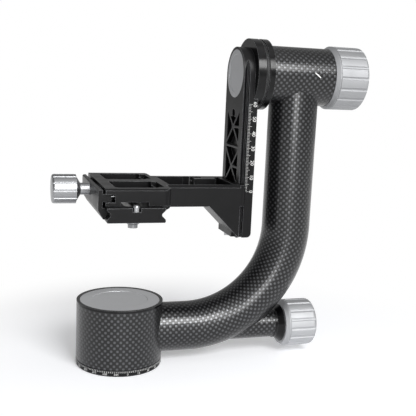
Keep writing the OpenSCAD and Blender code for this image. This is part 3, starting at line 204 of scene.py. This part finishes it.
def anodised(name, colour, edge_colour, roughness, gloss, grain=0.5):
    """Blasted and anodised aluminium: a fine matt grain, cloudy handling marks, and pale edges, partly rubbed
    and partly a painted highlight along the chamfers.
    """
    grit, grit_depth, cloud, edge_width = 0.35 * mm, 0.02 * mm, 14 * mm, 0.5 * mm
    least_edge_share, most_edge_share = 0.25, 0.8
    glossiest, dullest = roughness - 0.04, roughness + 0.05
    material, tree = empty_material(name)
    place = add(tree, "ShaderNodeTexCoord").outputs["Object"]
    fine = add(tree, "ShaderNodeTexNoise", {"Vector": place, "Scale": 1 / grit, "Detail": 2.0,
                                            "Roughness": 0.6})
    broad = add(tree, "ShaderNodeTexNoise", {"Vector": place, "Scale": 1 / cloud, "Detail": 4.0,
                                             "Roughness": 0.65}).outputs["Fac"]
    normal, edge = rounded_edges(tree, edge_width)
    # The pale edge colour is partly wear where the anodising rubs through and partly a painted highlight
    # along the chamfers; a broad noise varies how strongly each edge takes it.
    patchy = add(tree, "ShaderNodeMapRange", {"Value": broad, "From Min": noise_low, "From Max": noise_high,
                                              "To Min": least_edge_share, "To Max": most_edge_share})
    edge_share = add(tree, "ShaderNodeMath", {0: edge, 1: patchy.outputs[0]}, operation="MULTIPLY")
    cloudy = mottled(tree, colour, broad, 0.94, 1.06)
    tint = add(tree, "ShaderNodeMix", {"Factor": edge_share.outputs[0], "A": cloudy, "B": rgb(edge_colour)},
               data_type="RGBA")
    rough = add(tree, "ShaderNodeMapRange", {"Value": broad, "From Min": noise_low, "From Max": noise_high,
                                             "To Min": glossiest, "To Max": dullest})
    bump = add(tree, "ShaderNodeBump", {"Height": fine.outputs["Fac"], "Strength": grain,
                                        "Distance": grit_depth, "Normal": normal})
    skin = add(tree, "ShaderNodeBsdfPrincipled", {"Base Color": tint.outputs["Result"], "Metallic": 0.0,
                                                  "Roughness": rough.outputs[0], "Specular IOR Level": gloss,
                                                  "Normal": bump.outputs[0]})
    add(tree, "ShaderNodeOutputMaterial", {"Surface": skin.outputs[0]})
    return material


def ink_material(name, colour):
    """Screen-printed ink: an even matt film that thins a little here and there."""
    blot = 0.6 * mm
    material, tree = empty_material(name)
    place = add(tree, "ShaderNodeTexCoord").outputs["Object"]
    patchy = add(tree, "ShaderNodeTexNoise", {"Vector": place, "Scale": 1 / blot, "Detail": 3.0})
    tint = mottled(tree, colour, patchy.outputs["Fac"], 0.86, 1.0)
    skin = add(tree, "ShaderNodeBsdfPrincipled", {"Base Color": tint, "Roughness": 0.55})
    add(tree, "ShaderNodeOutputMaterial", {"Surface": skin.outputs[0]})
    return material


def figures(words, tall, thick):
    """Numbers as a mesh, centred on the origin in the XY plane, tall high and thick in Z."""
    share_of_font_size = 0.7
    curve = bpy.data.curves.new("figures", "FONT")
    curve.body, curve.align_x, curve.align_y = words, "CENTER", "CENTER"
    curve.resolution_u = 3
    curve.size = tall / share_of_font_size
    curve.extrude = thick / 2
    letters = bpy.data.objects.new("figures", curve)
    mesh = bpy.data.meshes.new_from_object(letters)
    bpy.data.objects.remove(letters)
    bpy.data.curves.remove(curve)
    return mesh


def bar(shape, size, where, turn=Matrix.Identity(4)):
    """Adds one printed bar to a mesh: its three sizes, and its centre, before an optional turn."""
    place = turn @ Matrix.Translation(where) @ Matrix.Diagonal(Vector(size)).to_4x4()
    bmesh.ops.create_cube(shape, size=1, matrix=place)


def printed(name, shape, body):
    """Finishes a printed mark as a piece that rides on a body."""
    mesh = bpy.data.meshes.new(name)
    shape.to_mesh(mesh)
    shape.free()
    mesh.materials.append(white_ink)
    piece = bpy.data.objects.new(name, mesh)
    scene.collection.objects.link(piece)
    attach(piece, body)


# The edge colour #a4a5a8 is partly rubbed metal and partly a painted highlight along the chamfers.
black_anodised = anodised("black anodised aluminium", "#0f0f10", "#a4a5a8", 0.35, 0.2)
white_ink = ink_material("white screen print", "#dcdcda")
dress("base_plate", black_anodised)

# The scale stands out of the rim by ink_proud, and is sunk into it by the rest of ink_thick.
ink_thick, ink_proud = 0.14 * mm, 0.04 * mm
rim_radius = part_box("base_plate")[1][0]
ink_middle = rim_radius + ink_proud - ink_thick / 2
ring_first, ring_step, mark_step = -88, 15, 2.5
mark_low, mark_high, mark_width = 2.65 * mm, 3.75 * mm, 0.28 * mm
figure_tall, figure_middle = 1.55 * mm, 1.6 * mm

ring = bmesh.new()
for k in range(round(360 / mark_step)):
    turn = Matrix.Rotation(math.radians(ring_first + k * mark_step), 4, "Z")
    middle = Vector((ink_middle, 0, (mark_low + mark_high) / 2))
    bar(ring, (ink_thick, mark_width, mark_high - mark_low), middle, turn)
for k in range(360 // ring_step):
    number = bmesh.new()
    mesh = figures(str(k * ring_step), figure_tall, ink_thick)
    number.from_mesh(mesh)
    bpy.data.meshes.remove(mesh)
    middle = math.radians(ring_first + k * ring_step)
    for v in number.verts:
        angle, radius = middle + v.co.x / rim_radius, ink_middle + v.co.z
        v.co = Vector((radius * math.cos(angle), radius * math.sin(angle), figure_middle + v.co.y))
    mesh = bpy.data.meshes.new("number")
    number.to_mesh(mesh)
    number.free()
    ring.from_mesh(mesh)
    bpy.data.meshes.remove(mesh)
printed("degree_scale", ring, "base")


# Pan shell
# A drum of plain-woven carbon fibre under satin resin, bonded over the housing of the pan bearings.
# The tows are 2.1 mm wide, and each shows as a low pillow that catches the light at its own angle.

def weave(tree, turn, along, axis, cells):
    """Plain-woven carbon tows, which finish the tree.

    turn is the angle round the tube, along is the way down it, and axis is the direction in which it runs.
    cells is the even number of tows that stand side by side round the tube, so that the pattern meets itself.
    The tows that run along the axis are painted bright as a painted sheen, which fades towards the tube's
    sides, and are partly metallic;
    those that run round the tube stay dark, and a clear satin resin lies over both."""
    tow, pillow, fibre_depth = 2.1 * mm, 0.12 * mm, 0.02 * mm
    fibres, drift = 12, 0.4
    # The bright tow colour is a painted sheen on the tows that lie over; it also sets their metallic
    # reflectance.
    sheen_tow, dark_tow = "#5e5f61", "#080809"
    over_start, over_full = 0.03, 0.7
    facing, aslant, aslant_sheen = 0.03, 0.5, 0.4
    darkest, brightest = 0.75, 1.25
    glossiest, dullest = 0.32, 0.38
    across = add(tree, "ShaderNodeMath", {0: turn, 1: cells / 2}, operation="MULTIPLY").outputs[0]
    down = add(tree, "ShaderNodeMath", {0: along, 1: math.pi / tow}, operation="MULTIPLY").outputs[0]
    wave_a = add(tree, "ShaderNodeMath", {0: across}, operation="SINE").outputs[0]
    wave_b = add(tree, "ShaderNodeMath", {0: down}, operation="SINE").outputs[0]
    both = add(tree, "ShaderNodeMath", {0: wave_a, 1: wave_b}, operation="MULTIPLY").outputs[0]
    over = add(tree, "ShaderNodeMapRange", {"Value": both, "From Min": over_start, "From Max": over_full},
               interpolation_type="SMOOTHSTEP").outputs[0]
    size = add(tree, "ShaderNodeMath", {0: both}, operation="ABSOLUTE").outputs[0]
    rise = add(tree, "ShaderNodeMath", {0: size, 1: 0.5}, operation="POWER").outputs[0]
    net = add(tree, "ShaderNodeCombineXYZ", {"X": across, "Y": down}).outputs[0]
    long_way = add(tree, "ShaderNodeVectorMath", {0: net, 1: (fibres, drift, 1)}, operation="MULTIPLY")
    short_way = add(tree, "ShaderNodeVectorMath", {0: net, 1: (drift, fibres, 1)}, operation="MULTIPLY")
    lie = add(tree, "ShaderNodeMix", {"Factor": over, "A": short_way.outputs[0], "B": long_way.outputs[0]},
              data_type="VECTOR").outputs["Result"]
    strands = add(tree, "ShaderNodeTexNoise", {"Vector": lie, "Scale": 1.0, "Detail": 2.0}).outputs["Fac"]
    # Painted sheen: the bright tows are at full strength where they face the view and fade to less than half
    # at the tube's sides.
    grazing = add(tree, "ShaderNodeLayerWeight", {"Blend": 0.5}).outputs["Facing"]
    sheen_fade = add(tree, "ShaderNodeMapRange", {"Value": grazing, "From Min": facing, "From Max": aslant,
                                             "To Min": 1.0, "To Max": aslant_sheen}).outputs[0]
    sheen_mask = add(tree, "ShaderNodeMath", {0: over, 1: sheen_fade}, operation="MULTIPLY").outputs[0]
    colour = add(tree, "ShaderNodeMix", {"Factor": sheen_mask, "A": rgb(dark_tow), "B": rgb(sheen_tow)},
                 data_type="RGBA").outputs["Result"]
    streak = add(tree, "ShaderNodeMapRange", {"Value": strands, "From Min": noise_low, "From Max": noise_high,
                                              "To Min": darkest, "To Max": brightest}).outputs[0]
    tint = add(tree, "ShaderNodeMix", {"Factor": 1.0, "A": colour, "B": streak},
               data_type="RGBA", blend_type="MULTIPLY")
    rough = add(tree, "ShaderNodeMapRange", {"Value": streak, "From Min": darkest, "From Max": brightest,
                                             "To Min": glossiest, "To Max": dullest})
    normal = add(tree, "ShaderNodeNewGeometry").outputs["Normal"]
    around = add(tree, "ShaderNodeVectorMath", {0: axis, 1: normal}, operation="CROSS_PRODUCT").outputs[0]
    spread = add(tree, "ShaderNodeMix", {"Factor": over, "A": axis, "B": around}, data_type="VECTOR")
    raised = add(tree, "ShaderNodeBump", {"Height": rise, "Strength": 1.0, "Distance": pillow})
    bump = add(tree, "ShaderNodeBump", {"Height": strands, "Strength": 0.35, "Distance": fibre_depth,
                                        "Normal": raised.outputs[0]})
    sheen = add(tree, "ShaderNodeMath", {0: sheen_mask, 1: 0.9}, operation="MULTIPLY").outputs[0]
    skin = add(tree, "ShaderNodeBsdfPrincipled", {"Base Color": tint.outputs["Result"], "Metallic": sheen,
                                                  "Roughness": rough.outputs[0], "Specular IOR Level": 0.25,
                                                  "Anisotropic": 0.3, "Tangent": spread.outputs["Result"],
                                                  "Coat Weight": 0.55, "Coat Roughness": 0.2,
                                                  "Normal": bump.outputs[0]})
    add(tree, "ShaderNodeOutputMaterial", {"Surface": skin.outputs[0]})


shell_cells = 90
shell_carbon, tree = empty_material("woven carbon fibre, pan drum")
at = add(tree, "ShaderNodeSeparateXYZ", {"Vector": add(tree, "ShaderNodeTexCoord").outputs["Object"]}).outputs
turn = add(tree, "ShaderNodeMath", {0: at["Y"], 1: at["X"]}, operation="ARCTAN2").outputs[0]
weave(tree, turn, at["Z"], (0, 0, 1), shell_cells)
dress("pan_shell", shell_carbon)


# Lip and cap of the pan unit
# A black anodised lip, with a pale chamfer that is partly polished metal and partly a painted highlight, is
# pressed into the drum and holds a disc of aluminium.
# The disc is anodised grey, with fine rings from the lathe and a shallow turned circle near its edge.

def turned(name, colour, roughness, centre, spin, edge_share=0.4, gloss=0.5, metallic=0.5):
    """A piece turned about the spin axis through centre: fine rings from the tool and lightly worn edges."""
    pitch, depth, cloud, edge_width = 0.16 * mm, 0.012 * mm, 9 * mm, 0.3 * mm
    edge_colour, line_low, line_high = "#e6e7e8", 0.25, 0.75
    glossiest, dullest = roughness - 0.03, roughness + 0.04
    material, tree = empty_material(name)
    place = add(tree, "ShaderNodeTexCoord").outputs["Object"]
    local = add(tree, "ShaderNodeVectorMath", {0: place, 1: centre}, operation="SUBTRACT").outputs[0]
    at = add(tree, "ShaderNodeSeparateXYZ", {"Vector": local}).outputs
    sides = [at[letter] for letter in "XYZ" if letter != spin]
    radial = add(tree, "ShaderNodeCombineXYZ", {"X": sides[0], "Y": sides[1]}).outputs[0]
    radius = add(tree, "ShaderNodeVectorMath", {0: radial}, operation="LENGTH").outputs["Value"]
    rings = add(tree, "ShaderNodeCombineXYZ", {"X": radius, "Y": at[spin]}).outputs[0]
    lines = add(tree, "ShaderNodeTexNoise", {"Vector": rings, "Scale": 1 / pitch, "Detail": 3.0,
                                             "Roughness": 0.7}).outputs["Fac"]
    broad = add(tree, "ShaderNodeTexNoise", {"Vector": place, "Scale": 1 / cloud, "Detail": 4.0})
    normal, edge = rounded_edges(tree, edge_width)
    shade = add(tree, "ShaderNodeMapRange", {"Value": lines, "From Min": line_low, "From Max": line_high,
                                             "To Min": 0.93, "To Max": 1.05})
    tint = add(tree, "ShaderNodeMix", {"Factor": 1.0, "A": rgb(colour), "B": shade.outputs[0]},
               data_type="RGBA", blend_type="MULTIPLY")
    bright = add(tree, "ShaderNodeMath", {0: edge, 1: edge_share}, operation="MULTIPLY").outputs[0]
    final = add(tree, "ShaderNodeMix", {"Factor": bright, "A": tint.outputs["Result"], "B": rgb(edge_colour)},
                data_type="RGBA")
    rough = add(tree, "ShaderNodeMapRange", {"Value": broad.outputs["Fac"], "From Min": noise_low,
                                             "From Max": noise_high, "To Min": glossiest, "To Max": dullest})
    bump = add(tree, "ShaderNodeBump", {"Height": lines, "Strength": 0.6, "Distance": depth,
                                        "Normal": normal})
    skin = add(tree, "ShaderNodeBsdfPrincipled", {"Base Color": final.outputs["Result"], "Metallic": metallic,
                                                  "Roughness": rough.outputs[0], "Specular IOR Level": gloss,
                                                  "Normal": bump.outputs[0]})
    add(tree, "ShaderNodeOutputMaterial", {"Surface": skin.outputs[0]})
    return material


# The edge colour #77787b paints the chamfer pale: partly polished metal, partly a painted highlight.
gloss_black = anodised("black anodised aluminium, polished", "#070708", "#77787b", 0.16, 0.3, grain=0.12)
# The pan cap shares the arm cap's grey anodised finish; its lighter grey is a painted highlight.
pan_cap_lighter_grey = turned("grey anodised aluminium, turned", "#cbccce", 0.42, (0, 0, 0), "Z")
dress("pan_top_ring", gloss_black)
dress("pan_cap", pan_cap_lighter_grey)


# Curved arm
# A carbon tube bent through a right angle, from the pan unit up to the tilt unit, woven as the drum is.
# The pattern runs along its centre line, through the bend.

bend_at, bend_high, bend_radius = 48.7 * mm, 97.1 * mm, 73.5 * mm
arm_cells = 52
arm_carbon, tree = empty_material("woven carbon fibre, bent tube")
at = add(tree, "ShaderNodeSeparateXYZ", {"Vector": add(tree, "ShaderNodeTexCoord").outputs["Object"]}).outputs
out = add(tree, "ShaderNodeMath", {0: at["X"], 1: bend_at}, operation="SUBTRACT").outputs[0]
high = add(tree, "ShaderNodeMath", {0: at["Z"], 1: bend_high}, operation="SUBTRACT").outputs[0]
out_bend = add(tree, "ShaderNodeMath", {0: out, 1: 0.0}, operation="MAXIMUM").outputs[0]
low_bend = add(tree, "ShaderNodeMath", {0: high, 1: 0.0}, operation="MINIMUM").outputs[0]
drop = add(tree, "ShaderNodeMath", {0: low_bend, 1: -1.0}, operation="MULTIPLY").outputs[0]
spoke = add(tree, "ShaderNodeCombineXYZ", {"X": out_bend, "Y": drop}).outputs[0]
reach = add(tree, "ShaderNodeVectorMath", {0: spoke}, operation="LENGTH").outputs["Value"]
beyond = add(tree, "ShaderNodeMath", {0: reach, 1: bend_radius}, operation="SUBTRACT").outputs[0]
turn = add(tree, "ShaderNodeMath", {0: beyond, 1: at["Y"]}, operation="ARCTAN2").outputs[0]
swept = add(tree, "ShaderNodeMath", {0: out_bend, 1: drop}, operation="ARCTAN2").outputs[0]
arc = add(tree, "ShaderNodeMath", {0: swept, 1: bend_radius}, operation="MULTIPLY").outputs[0]
before = add(tree, "ShaderNodeMath", {0: out, 1: 0.0}, operation="MINIMUM").outputs[0]
after = add(tree, "ShaderNodeMath", {0: high, 1: 0.0}, operation="MAXIMUM").outputs[0]
level_part = add(tree, "ShaderNodeMath", {0: before, 1: arc}, operation="ADD").outputs[0]
along = add(tree, "ShaderNodeMath", {0: level_part, 1: after}, operation="ADD").outputs[0]
forward = add(tree, "ShaderNodeMath", {0: swept}, operation="COSINE").outputs[0]
upward = add(tree, "ShaderNodeMath", {0: swept}, operation="SINE").outputs[0]
axis = add(tree, "ShaderNodeCombineXYZ", {"X": forward, "Z": upward}).outputs[0]
weave(tree, turn, along, axis, arm_cells)
dress("curved_arm", arm_carbon)


# Pan lock
# A thin carbon tube on the elbow carries the lock's rod out to a flared black collar and a fluted knob.
# The knob is turned aluminium, blasted to a satin silver, and its end disc is pressed in.

lock_height, lock_cells = 21.6 * mm, 30
lock_carbon, tree = empty_material("woven carbon fibre, lock tube")
at = add(tree, "ShaderNodeSeparateXYZ", {"Vector": add(tree, "ShaderNodeTexCoord").outputs["Object"]}).outputs
high = add(tree, "ShaderNodeMath", {0: at["Z"], 1: lock_height}, operation="SUBTRACT").outputs[0]
turn = add(tree, "ShaderNodeMath", {0: high, 1: at["Y"]}, operation="ARCTAN2").outputs[0]
weave(tree, turn, at["X"], (1, 0, 0), lock_cells)
# The lock knob shares the tilt knob's silver finish; its lighter grey is a painted highlight.
lock_lighter_silver = turned("silver aluminium, pan lock knob", "#bdbec0", 0.64, (0, 0, lock_height), "X",
                     edge_share=0.1, metallic=1.0)
dress("pan_lock_tube", lock_carbon)
dress("pan_lock_collar", gloss_black)
dress("pan_lock_knob pan_lock_knob_disc", lock_lighter_silver)


# Tilt sleeve and its index mark
# A carbon sleeve over the tilt bearings, woven as the drum is, between the fixed flange and the tilt knob.
# A short slanted stroke of white ink marks its front.

tilt_height, sleeve_cells = 204.6 * mm, 62
sleeve_carbon, tree = empty_material("woven carbon fibre, tilt sleeve")
at = add(tree, "ShaderNodeSeparateXYZ", {"Vector": add(tree, "ShaderNodeTexCoord").outputs["Object"]}).outputs
high = add(tree, "ShaderNodeMath", {0: at["Z"], 1: tilt_height}, operation="SUBTRACT").outputs[0]
turn = add(tree, "ShaderNodeMath", {0: high, 1: at["Y"]}, operation="ARCTAN2").outputs[0]
weave(tree, turn, at["X"], (1, 0, 0), sleeve_cells)
dress("tilt_sleeve", sleeve_carbon)

# The stroke's ends: how far along the sleeve, and how many degrees up from its front.
sleeve_radius = -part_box("tilt_sleeve")[0][1]
stroke_start, stroke_end = (128.8 * mm, 7.5), (133.0 * mm, -1.2)
stroke_width, stroke_steps = 0.8 * mm, 8
stroke_middle = (stroke_start[0] + stroke_end[0]) / 2
stroke_angle = math.radians((stroke_start[1] + stroke_end[1]) / 2)
fall = math.radians(stroke_end[1] - stroke_start[1]) * sleeve_radius
slant = Vector((stroke_end[0] - stroke_start[0], fall))
stroke = bmesh.new()
bmesh.ops.create_grid(stroke, x_segments=stroke_steps, y_segments=1, size=0.5,
                      matrix=Matrix.Diagonal((slant.length, stroke_width, 1, 1)))
sheet = bmesh.ops.extrude_face_region(stroke, geom=stroke.faces[:])["geom"]
upper = [v for v in sheet if isinstance(v, bmesh.types.BMVert)]
bmesh.ops.translate(stroke, vec=(0, 0, ink_thick), verts=upper)
tilted = Matrix.Rotation(math.atan2(slant.y, slant.x), 3, "Z")
bmesh.ops.rotate(stroke, matrix=tilted, verts=stroke.verts)
bmesh.ops.recalc_face_normals(stroke, faces=stroke.faces)
for v in stroke.verts:
    angle = stroke_angle + v.co.y / sleeve_radius
    radius = sleeve_radius + ink_proud - ink_thick + v.co.z
    v.co = Vector((stroke_middle + v.co.x, -radius * math.cos(angle), tilt_height + radius * math.sin(angle)))
printed("sleeve_mark", stroke, "pan_head")


# Flanges and spacer
# Rings of black anodised aluminium with a turned, half-glossy skin: one is fixed to the sleeve, and the other
# turns with the swing arm. A thin ring of hard black plastic lies between them.

flange_black = turned("black anodised aluminium, turned", "#060607", 0.2, (0, 0, tilt_height), "X",
                      edge_share=0.25, gloss=0.32, metallic=0.0)
spacer_black = turned("black acetal plastic", "#1a1a1b", 0.45, (0, 0, tilt_height), "X",
                      gloss=0.3, metallic=0.0)
dress("tilt_flange_ring tilt_flange", flange_black)
dress("tilt_spacer_ring", spacer_black)


# Tilt knob
# The large fluted knob that locks the tilt, turned from aluminium and blasted to a satin silver.
# It screws onto the neck of the housing inside the sleeve, and its end disc is pressed in.

tilt_silver = turned("silver aluminium, tilt knob", "#aeafb1", 0.64, (0, 0, tilt_height), "X",
                     edge_share=0.1, metallic=1.0)
dress("tilt_knob tilt_knob_disc", tilt_silver)


# Swing arm and height scale
# Milled aluminium, blasted and black anodised, with truss pockets and dovetail edges for the cradle.
# The edge that faces front is printed with a scale from 0 to 60 millimetres, whose numbers read downwards.

dress("swing_arm tilt_flange_screws", black_anodised)

scale_start, scale_tens, scale_unit = 124.15 * mm, 6, 1 * mm
scale_edge, short_mark, long_mark, scale_mark_width = 81.9 * mm, 1.7 * mm, 2.9 * mm, 0.16 * mm
digit_middle, digit_tall = 86.4 * mm, 2.55 * mm
scale_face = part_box("swing_arm")[0][1]
scale_mid = scale_face - ink_proud + ink_thick / 2

scale = bmesh.new()
for k in range(scale_tens * 10 + 1):
    length = short_mark if k % 5 else long_mark
    middle = Vector((scale_edge + length / 2, scale_mid, scale_start + k * scale_unit))
    bar(scale, (length, ink_thick, scale_mark_width), middle)
reads_down = Matrix(((0, 1, 0, 0), (0, 0, -1, 0), (-1, 0, 0, 0), (0, 0, 0, 1)))
for k in range(scale_tens + 1):
    mesh = figures(str(k * 10), digit_tall, ink_thick)
    middle = (digit_middle, scale_mid, scale_start + k * 10 * scale_unit)
    mesh.transform(Matrix.Translation(middle) @ reads_down)
    scale.from_mesh(mesh)
    bpy.data.meshes.remove(mesh)
printed("height_scale", scale, "swing")


# Cap of the swing arm
# A disc of grey anodised aluminium, turned with fine rings and one shallow circle.
# It covers the screws that hold the swing arm to its flange.

# The arm cap shares the pan cap's grey anodised finish; its darker grey is a painted shade.
arm_cap_darker_grey = turned("grey anodised aluminium, arm cap", "#c0c1c3", 0.42, (0, 0, tilt_height), "X")
dress("swing_arm_cap", arm_cap_darker_grey)


# Cradle bracket and height lock
# One milled block, blasted and black anodised, with the windows, trough and gusset that the photograph shows.
# The height lock on its far side has a small black knob on a steel stud.

def bare_metal(name, colour, roughness, scratch=0.25 * mm):
    """Bare or plated metal with fine scratches that run every way, a little cloudiness and brighter edges."""
    edge_width, cloud, scratch_depth = 0.25 * mm, 6 * mm, 0.01 * mm
    edge_colour, edge_share = "#f0f0ee", 0.4
    glossiest, dullest = roughness - 0.05, roughness + 0.08
    material, tree = empty_material(name)
    place = add(tree, "ShaderNodeTexCoord").outputs["Object"]
    marks = add(tree, "ShaderNodeTexNoise", {"Vector": place, "Scale": 1 / scratch, "Detail": 4.0,
                                             "Distortion": 1.5}).outputs["Fac"]
    broad = add(tree, "ShaderNodeTexNoise", {"Vector": place, "Scale": 1 / cloud, "Detail": 3.0})
    normal, edge = rounded_edges(tree, edge_width)
    tint = mottled(tree, colour, broad.outputs["Fac"], 0.9, 1.04)
    bright = add(tree, "ShaderNodeMath", {0: edge, 1: edge_share}, operation="MULTIPLY").outputs[0]
    final = add(tree, "ShaderNodeMix", {"Factor": bright, "A": tint, "B": rgb(edge_colour)}, data_type="RGBA")
    rough = add(tree, "ShaderNodeMapRange", {"Value": marks, "From Min": noise_low, "From Max": noise_high,
                                             "To Min": glossiest, "To Max": dullest})
    bump = add(tree, "ShaderNodeBump", {"Height": marks, "Strength": 0.3, "Distance": scratch_depth,
                                        "Normal": normal})
    skin = add(tree, "ShaderNodeBsdfPrincipled", {"Base Color": final.outputs["Result"], "Metallic": 1.0,
                                                  "Roughness": rough.outputs[0], "Normal": bump.outputs[0]})
    add(tree, "ShaderNodeOutputMaterial", {"Surface": skin.outputs[0]})
    return material


steel = bare_metal("stainless steel", "#b4b5b7", 0.26)
dress("cradle_bracket height_lock_jaw height_lock_knob", black_anodised)
dress("height_lock_stud cradle_stop_screw", steel)


# Quick clamp
# A black anodised jaw slides on two steel guide pins towards the fixed lip of the cradle.
# A fluted knob of turned aluminium draws it in by a steel spindle.

clamp_height = 123.5 * mm
# The clamp knob shares the other knobs' silver finish; its darker grey is a painted shade.
clamp_darker_silver = turned("satin aluminium, clamp knob", "#9fa0a2", 0.38, (0, 0, clamp_height), "X",
                      edge_share=0.1, metallic=1.0)
dress("clamp_jaw", black_anodised)
dress("clamp_knob", clamp_darker_silver)
dress("clamp_spindle clamp_guide_pins", steel)


# Quick-release plate
# An aluminium plate with a long slot and dovetail edges, milled and black anodised.
# It has grip strips of rubber underneath, and steel screws that stop it in the clamp.

def rubber(name, colour):
    """Moulded rubber: dull, with a fine leathery grain and greyed edges."""
    grain, grain_depth, cloud, edge_width, edge_colour = 0.5 * mm, 0.03 * mm, 5 * mm, 0.3 * mm, "#3c3c3c"
    material, tree = empty_material(name)
    place = add(tree, "ShaderNodeTexCoord").outputs["Object"]
    cells = add(tree, "ShaderNodeTexVoronoi", {"Vector": place, "Scale": 1 / grain}).outputs["Distance"]
    broad = add(tree, "ShaderNodeTexNoise", {"Vector": place, "Scale": 1 / cloud, "Detail": 4.0})
    normal, edge = rounded_edges(tree, edge_width)
    tint = mottled(tree, colour, broad.outputs["Fac"], 0.85, 1.2)
    final = add(tree, "ShaderNodeMix", {"Factor": edge, "A": tint, "B": rgb(edge_colour)}, data_type="RGBA")
    bump = add(tree, "ShaderNodeBump", {"Height": cells, "Strength": 0.5, "Distance": grain_depth,
                                        "Normal": normal})
    skin = add(tree, "ShaderNodeBsdfPrincipled", {"Base Color": final.outputs["Result"], "Roughness": 0.75,
                                                  "Normal": bump.outputs[0]})
    add(tree, "ShaderNodeOutputMaterial", {"Surface": skin.outputs[0]})
    return material


dress("quick_plate", black_anodised)
dress("plate_stop_screws", steel)
dress("plate_strips", rubber("black rubber", "#1a1a1a"))


# Camera screw
# A steel screw with a slotted head, and a bevelled steel collar that keeps it in the plate's slot.
# Both are plain turned parts in a darker, rougher copy of the steel, whose darker grey is a painted shade.

darker_steel = bare_metal("dulled steel, camera screw", "#929395", 0.3, scratch=0.4 * mm)
dress("camera_screw camera_screw_ring", darker_steel)


# Inner parts
# Bearings and screws of steel, housings and plugs of bare aluminium, a brass collet and a nylon brake shoe.
# The assembled head hides them.

def nylon(name, colour):
    """Turned nylon: waxy, slightly mottled, with soft edges."""
    cloud, cloud_depth, edge_width = 3 * mm, 0.03 * mm, 0.3 * mm
    material, tree = empty_material(name)
    place = add(tree, "ShaderNodeTexCoord").outputs["Object"]
    broad = add(tree, "ShaderNodeTexNoise", {"Vector": place, "Scale": 1 / cloud,
                                             "Detail": 4.0}).outputs["Fac"]
    normal, edge = rounded_edges(tree, edge_width)
    tint = mottled(tree, colour, broad, 0.92, 1.03)
    bump = add(tree, "ShaderNodeBump", {"Height": broad, "Strength": 0.3, "Distance": cloud_depth,
                                        "Normal": normal})
    skin = add(tree, "ShaderNodeBsdfPrincipled", {"Base Color": tint, "Roughness": 0.45,
                                                  "Normal": bump.outputs[0]})
    add(tree, "ShaderNodeOutputMaterial", {"Surface": skin.outputs[0]})
    return material


bare_aluminium = bare_metal("bare aluminium", "#a9abad", 0.4, scratch=0.5 * mm)
brass = bare_metal("brass", "#b08d4a", 0.3)
dress("tripod_socket base_screws pan_retainer_screw arm_root_screws saddle_screws", steel)
dress("pan_bearing_inner_races pan_bearing_outer_races pan_bearing_balls", steel)
dress("tilt_bearing_inner_races tilt_bearing_outer_races tilt_bearing_balls", steel)
dress("tilt_shaft pan_lock_rod", steel)
dress("pan_spindle pan_retainer pan_housing arm_lower_insert arm_upper_insert tilt_housing", bare_aluminium)
dress("tilt_lock_collet", brass)
dress("pan_brake_shoe", nylon("white nylon", "#d9d7cf"))
